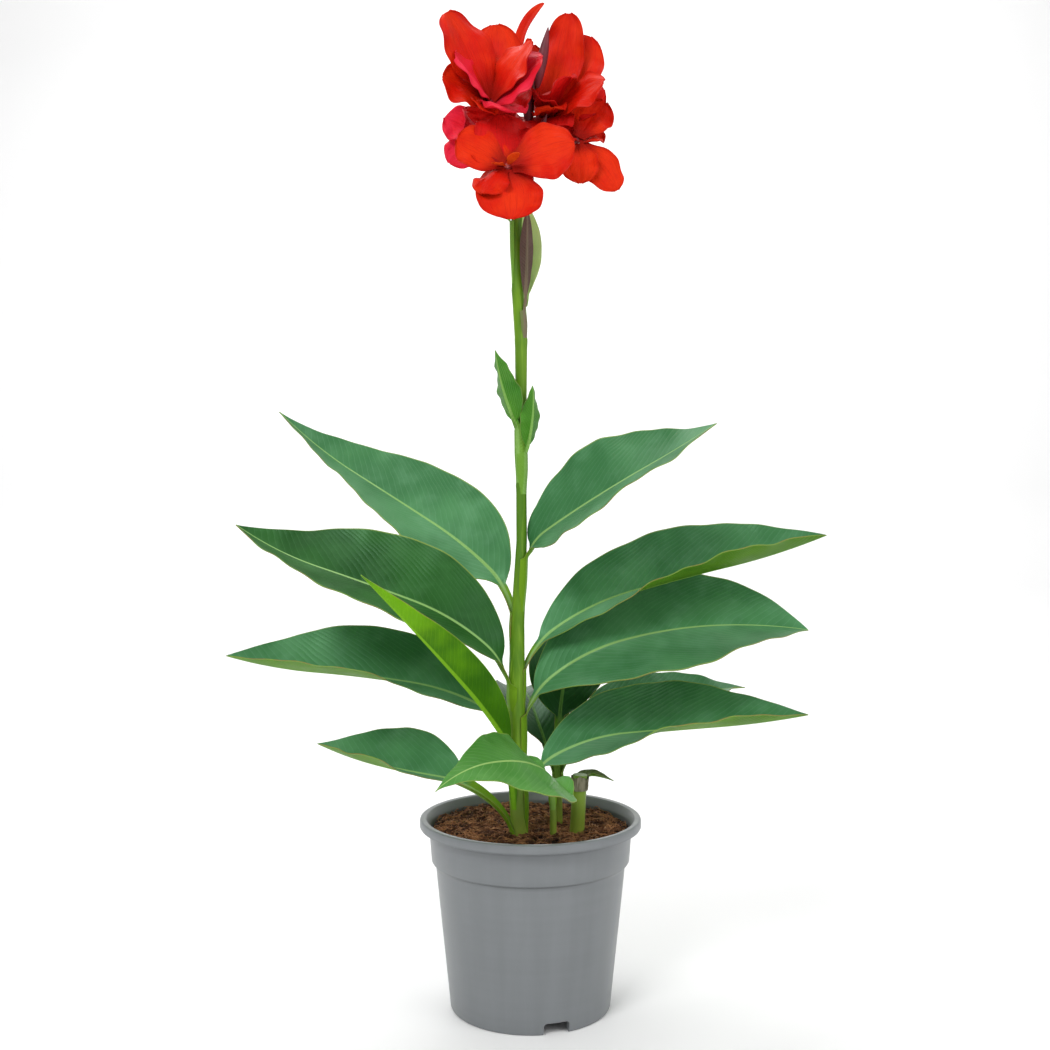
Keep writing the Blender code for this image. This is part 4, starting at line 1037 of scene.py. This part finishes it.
tube_body = mix_colour(tree, share_of(tree, long_lines, 0.38, 0.64), (0.18, 0.012, 0.016), (0.36, 0.03, 0.03))
tube_body = mix_colour(tree, share_of(tree, warts, 0.55, 0.75, 0.0, 0.6), tube_body, (0.08, 0.008, 0.012))
dress(tree, shader, tube_body, share_of(tree, warts, 0.3, 0.7, 0.4, 0.55), warts, 0.8 * MM)
FIT = 0.3
TUBE_FOOT = 1.9
TUBE_SHARES = (0.0, 0.04, 0.12, 0.25, 0.42, 0.6, 0.8, 1.0)
TUBE_RADII = (1.9, 2.4, 3.0, 3.4, 2.9, 2.3, 2.4, 2.7)
for flower_name, flower in FLOWERS.items():
    throat = Vector(flower["throat"])
    centre, radius = run_at(STEM_RUN, flower["foot"])
    away = (throat - centre).normalized()
    flat = math.hypot(away.x, away.y)
    reach = max(0.6 * flat, TUBE_FOOT * abs(away.z))
    start = centre + away * (radius + reach + FIT + 0.08) / flat
    span = throat - start
    centres = [start + span * share for share in TUBE_SHARES] + [throat + span.normalized() * 1.8]
    tube = lay_rod(f"{flower_name}_calyx", centres, TUBE_RADII + (2.0,), 20)
    settle(tube, [f"{flower_name}_tube"], [tube_finish])
    for count, petal_spec in enumerate(flower["petals"], 1):
        foot = throat + heading(petal_spec[0], petal_spec[1]) * CLAW
        petal = grow_petal(f"{flower_name}_limb_{count}", foot, petal_spec)
        settle(petal, [f"{flower_name}_petal_{count}"], [PETAL_FINISHES[flower["slot"]]])
    for count, (*petal_spec, finish_name) in enumerate(flower["inner"], 1):
        foot = throat - heading(petal_spec[0], petal_spec[1]) * INNER_LAP
        petal = grow_petal(f"{flower_name}_inner_{count}", foot, petal_spec)
        settle(petal, [], [PETAL_FINISHES[finish_name]])
front_throat = Vector(FLOWERS["flower_front"]["throat"])
for piece_name, petal_spec in FRONT_STAMENS.items():
    foot = front_throat + heading(petal_spec[0], petal_spec[1]) * CLAW
    stamen = grow_petal(f"{piece_name}_blade", foot, petal_spec, 20, 6, 1.0)
    settle(stamen, [piece_name], [stamen_finish])

# ---------------------------------------------------------------- buds and curled petal
# Three closed buds, dark purple-red and tightly rolled, stand on the stalk between the flowers, and a thin
# dried petal curls over at the very top of the head.
BUDS = {
    "bud_tall": (784, 330, 78, 50, 4.4),
    "bud_middle": (752, 262, 76, 46, 4.8),
    "bud_low": (722, 320, 62, 40, 4.2),
}
BUD_SHARES = (0.0, 0.05, 0.12, 0.2, 0.32, 0.45, 0.58, 0.7, 0.8, 0.88, 0.95, 1.0)
BUD_SIZES = (0.3, 0.5, 0.68, 0.8, 0.92, 1.0, 0.96, 0.82, 0.62, 0.44, 0.26, 0.12)
CURL_FOOT = 786
CURL_SPEC = (-10, 126, 34, 78, 10, 62, 20)


def off_stem(height, facing, start_radius):
    centre, radius = run_at(STEM_RUN, height)
    return centre + heading(facing, 0) * (radius + start_radius + FIT)


bud_finish, tree, shader = new_finish("bud_purple", gloss=0.4)
lines = grain(tree, (260, 260, 14))
clouds = grain(tree, (50, 50, 26))
bud_body = mix_colour(tree, share_of(tree, clouds, 0.38, 0.64), (0.09, 0.01, 0.02), (0.2, 0.022, 0.034))
bud_body = mix_colour(tree, share_of(tree, lines, 0.54, 0.72, 0.0, 0.6), bud_body, (0.28, 0.12, 0.12))
dress(tree, shader, bud_body, share_of(tree, lines, 0.3, 0.7, 0.5, 0.66), lines, 0.5 * MM)
for bud_name, (height, facing, rise, length, radius) in BUDS.items():
    start = off_stem(height, facing, 1.4)
    along = heading(facing, rise)
    bud = lay_rod(f"{bud_name}_roll", [start + along * length * share for share in BUD_SHARES],
                  [radius * size for size in BUD_SIZES])
    settle(bud, [bud_name], [bud_finish])
curl = grow_petal("petal_curled_strip", off_stem(CURL_FOOT, 200, 1.0), CURL_SPEC, 40, 4, 0.8)
settle(curl, ["petal_curled"], [PETAL_FINISHES["petal_red"]])

# ---------------------------------------------------------------- floor, light and camera
# A pale studio sweep, a broad soft light from the upper left, weaker fills, and the camera at the
# photograph's own viewing angle.
SWEEP = ((-3.0, 0.0), (1.4, 0.0), (1.8, 0.05), (2.15, 0.2), (2.35, 0.45), (2.4, 0.9), (2.4, 4.0))
SWEEP_REACH = 6.0
PLANT_AIM = (0, 0, 0.35)
BACKDROP_AIM = (0, 2.4, 1.3)
LIGHTS = (
    ("soft_key", (-1.0, -1.9, 2.2), 1.0, 37.0, PLANT_AIM),
    ("soft_fill", (1.7, -1.3, 1.7), 1.6, 19.0, PLANT_AIM),
    ("soft_top", (-0.5, 0.7, 2.4), 1.4, 26.0, PLANT_AIM),
    ("soft_back", (0.0, 0.9, 1.9), 1.2, 15.0, BACKDROP_AIM),
)
AIR_LIGHT = 0.46
EYE = (-0.0047, -1.113, 0.4435)
EYE_LIFT = math.radians(90) - math.atan(35 / 1300)
SENSOR_WIDTH = 36.0
LENS = SENSOR_WIDTH * 1300 / 1050
floor = lay_faces("studio_sweep", [(x, y, z) for y, z in SWEEP for x in (-SWEEP_REACH, SWEEP_REACH)],
                  [(2 * i, 2 * i + 1, 2 * i + 3, 2 * i + 2) for i in range(len(SWEEP) - 1)])
floor.data.shade_smooth()
floor_finish, tree, shader = new_finish("studio_white", gloss=0.1)
faint = grain(tree, (2, 2, 2), 2.0)
feed(tree, shader.inputs["Base Color"], mix_colour(tree, faint, (0.93, 0.93, 0.93), (0.95, 0.95, 0.95)))
floor.data.materials.append(floor_finish)

world = bpy.data.worlds.new("studio_air")
bpy.context.scene.world = world
world.use_nodes = True
world.node_tree.nodes["Background"].inputs["Color"].default_value = (1, 1, 1, 1)
world.node_tree.nodes["Background"].inputs["Strength"].default_value = AIR_LIGHT
for light_name, place, size, power, aim in LIGHTS:
    bpy.ops.object.light_add(type="AREA", location=place)
    light = bpy.context.object
    light.name = light_name
    light.data.size = size
    light.data.energy = power
    light.rotation_euler = (Vector(aim) - Vector(place)).to_track_quat("-Z", "Y").to_euler()

camera_data = bpy.data.cameras.new("photo_camera")
camera = bpy.data.objects.new("photo_camera", camera_data)
bpy.context.scene.collection.objects.link(camera)
camera.location = EYE
camera.rotation_euler = (EYE_LIFT, 0, 0)
camera_data.sensor_width = SENSOR_WIDTH
camera_data.lens = LENS
camera_data.clip_start = 0.01
bpy.context.scene.camera = camera
bpy.context.scene.view_settings.view_transform = "Standard"
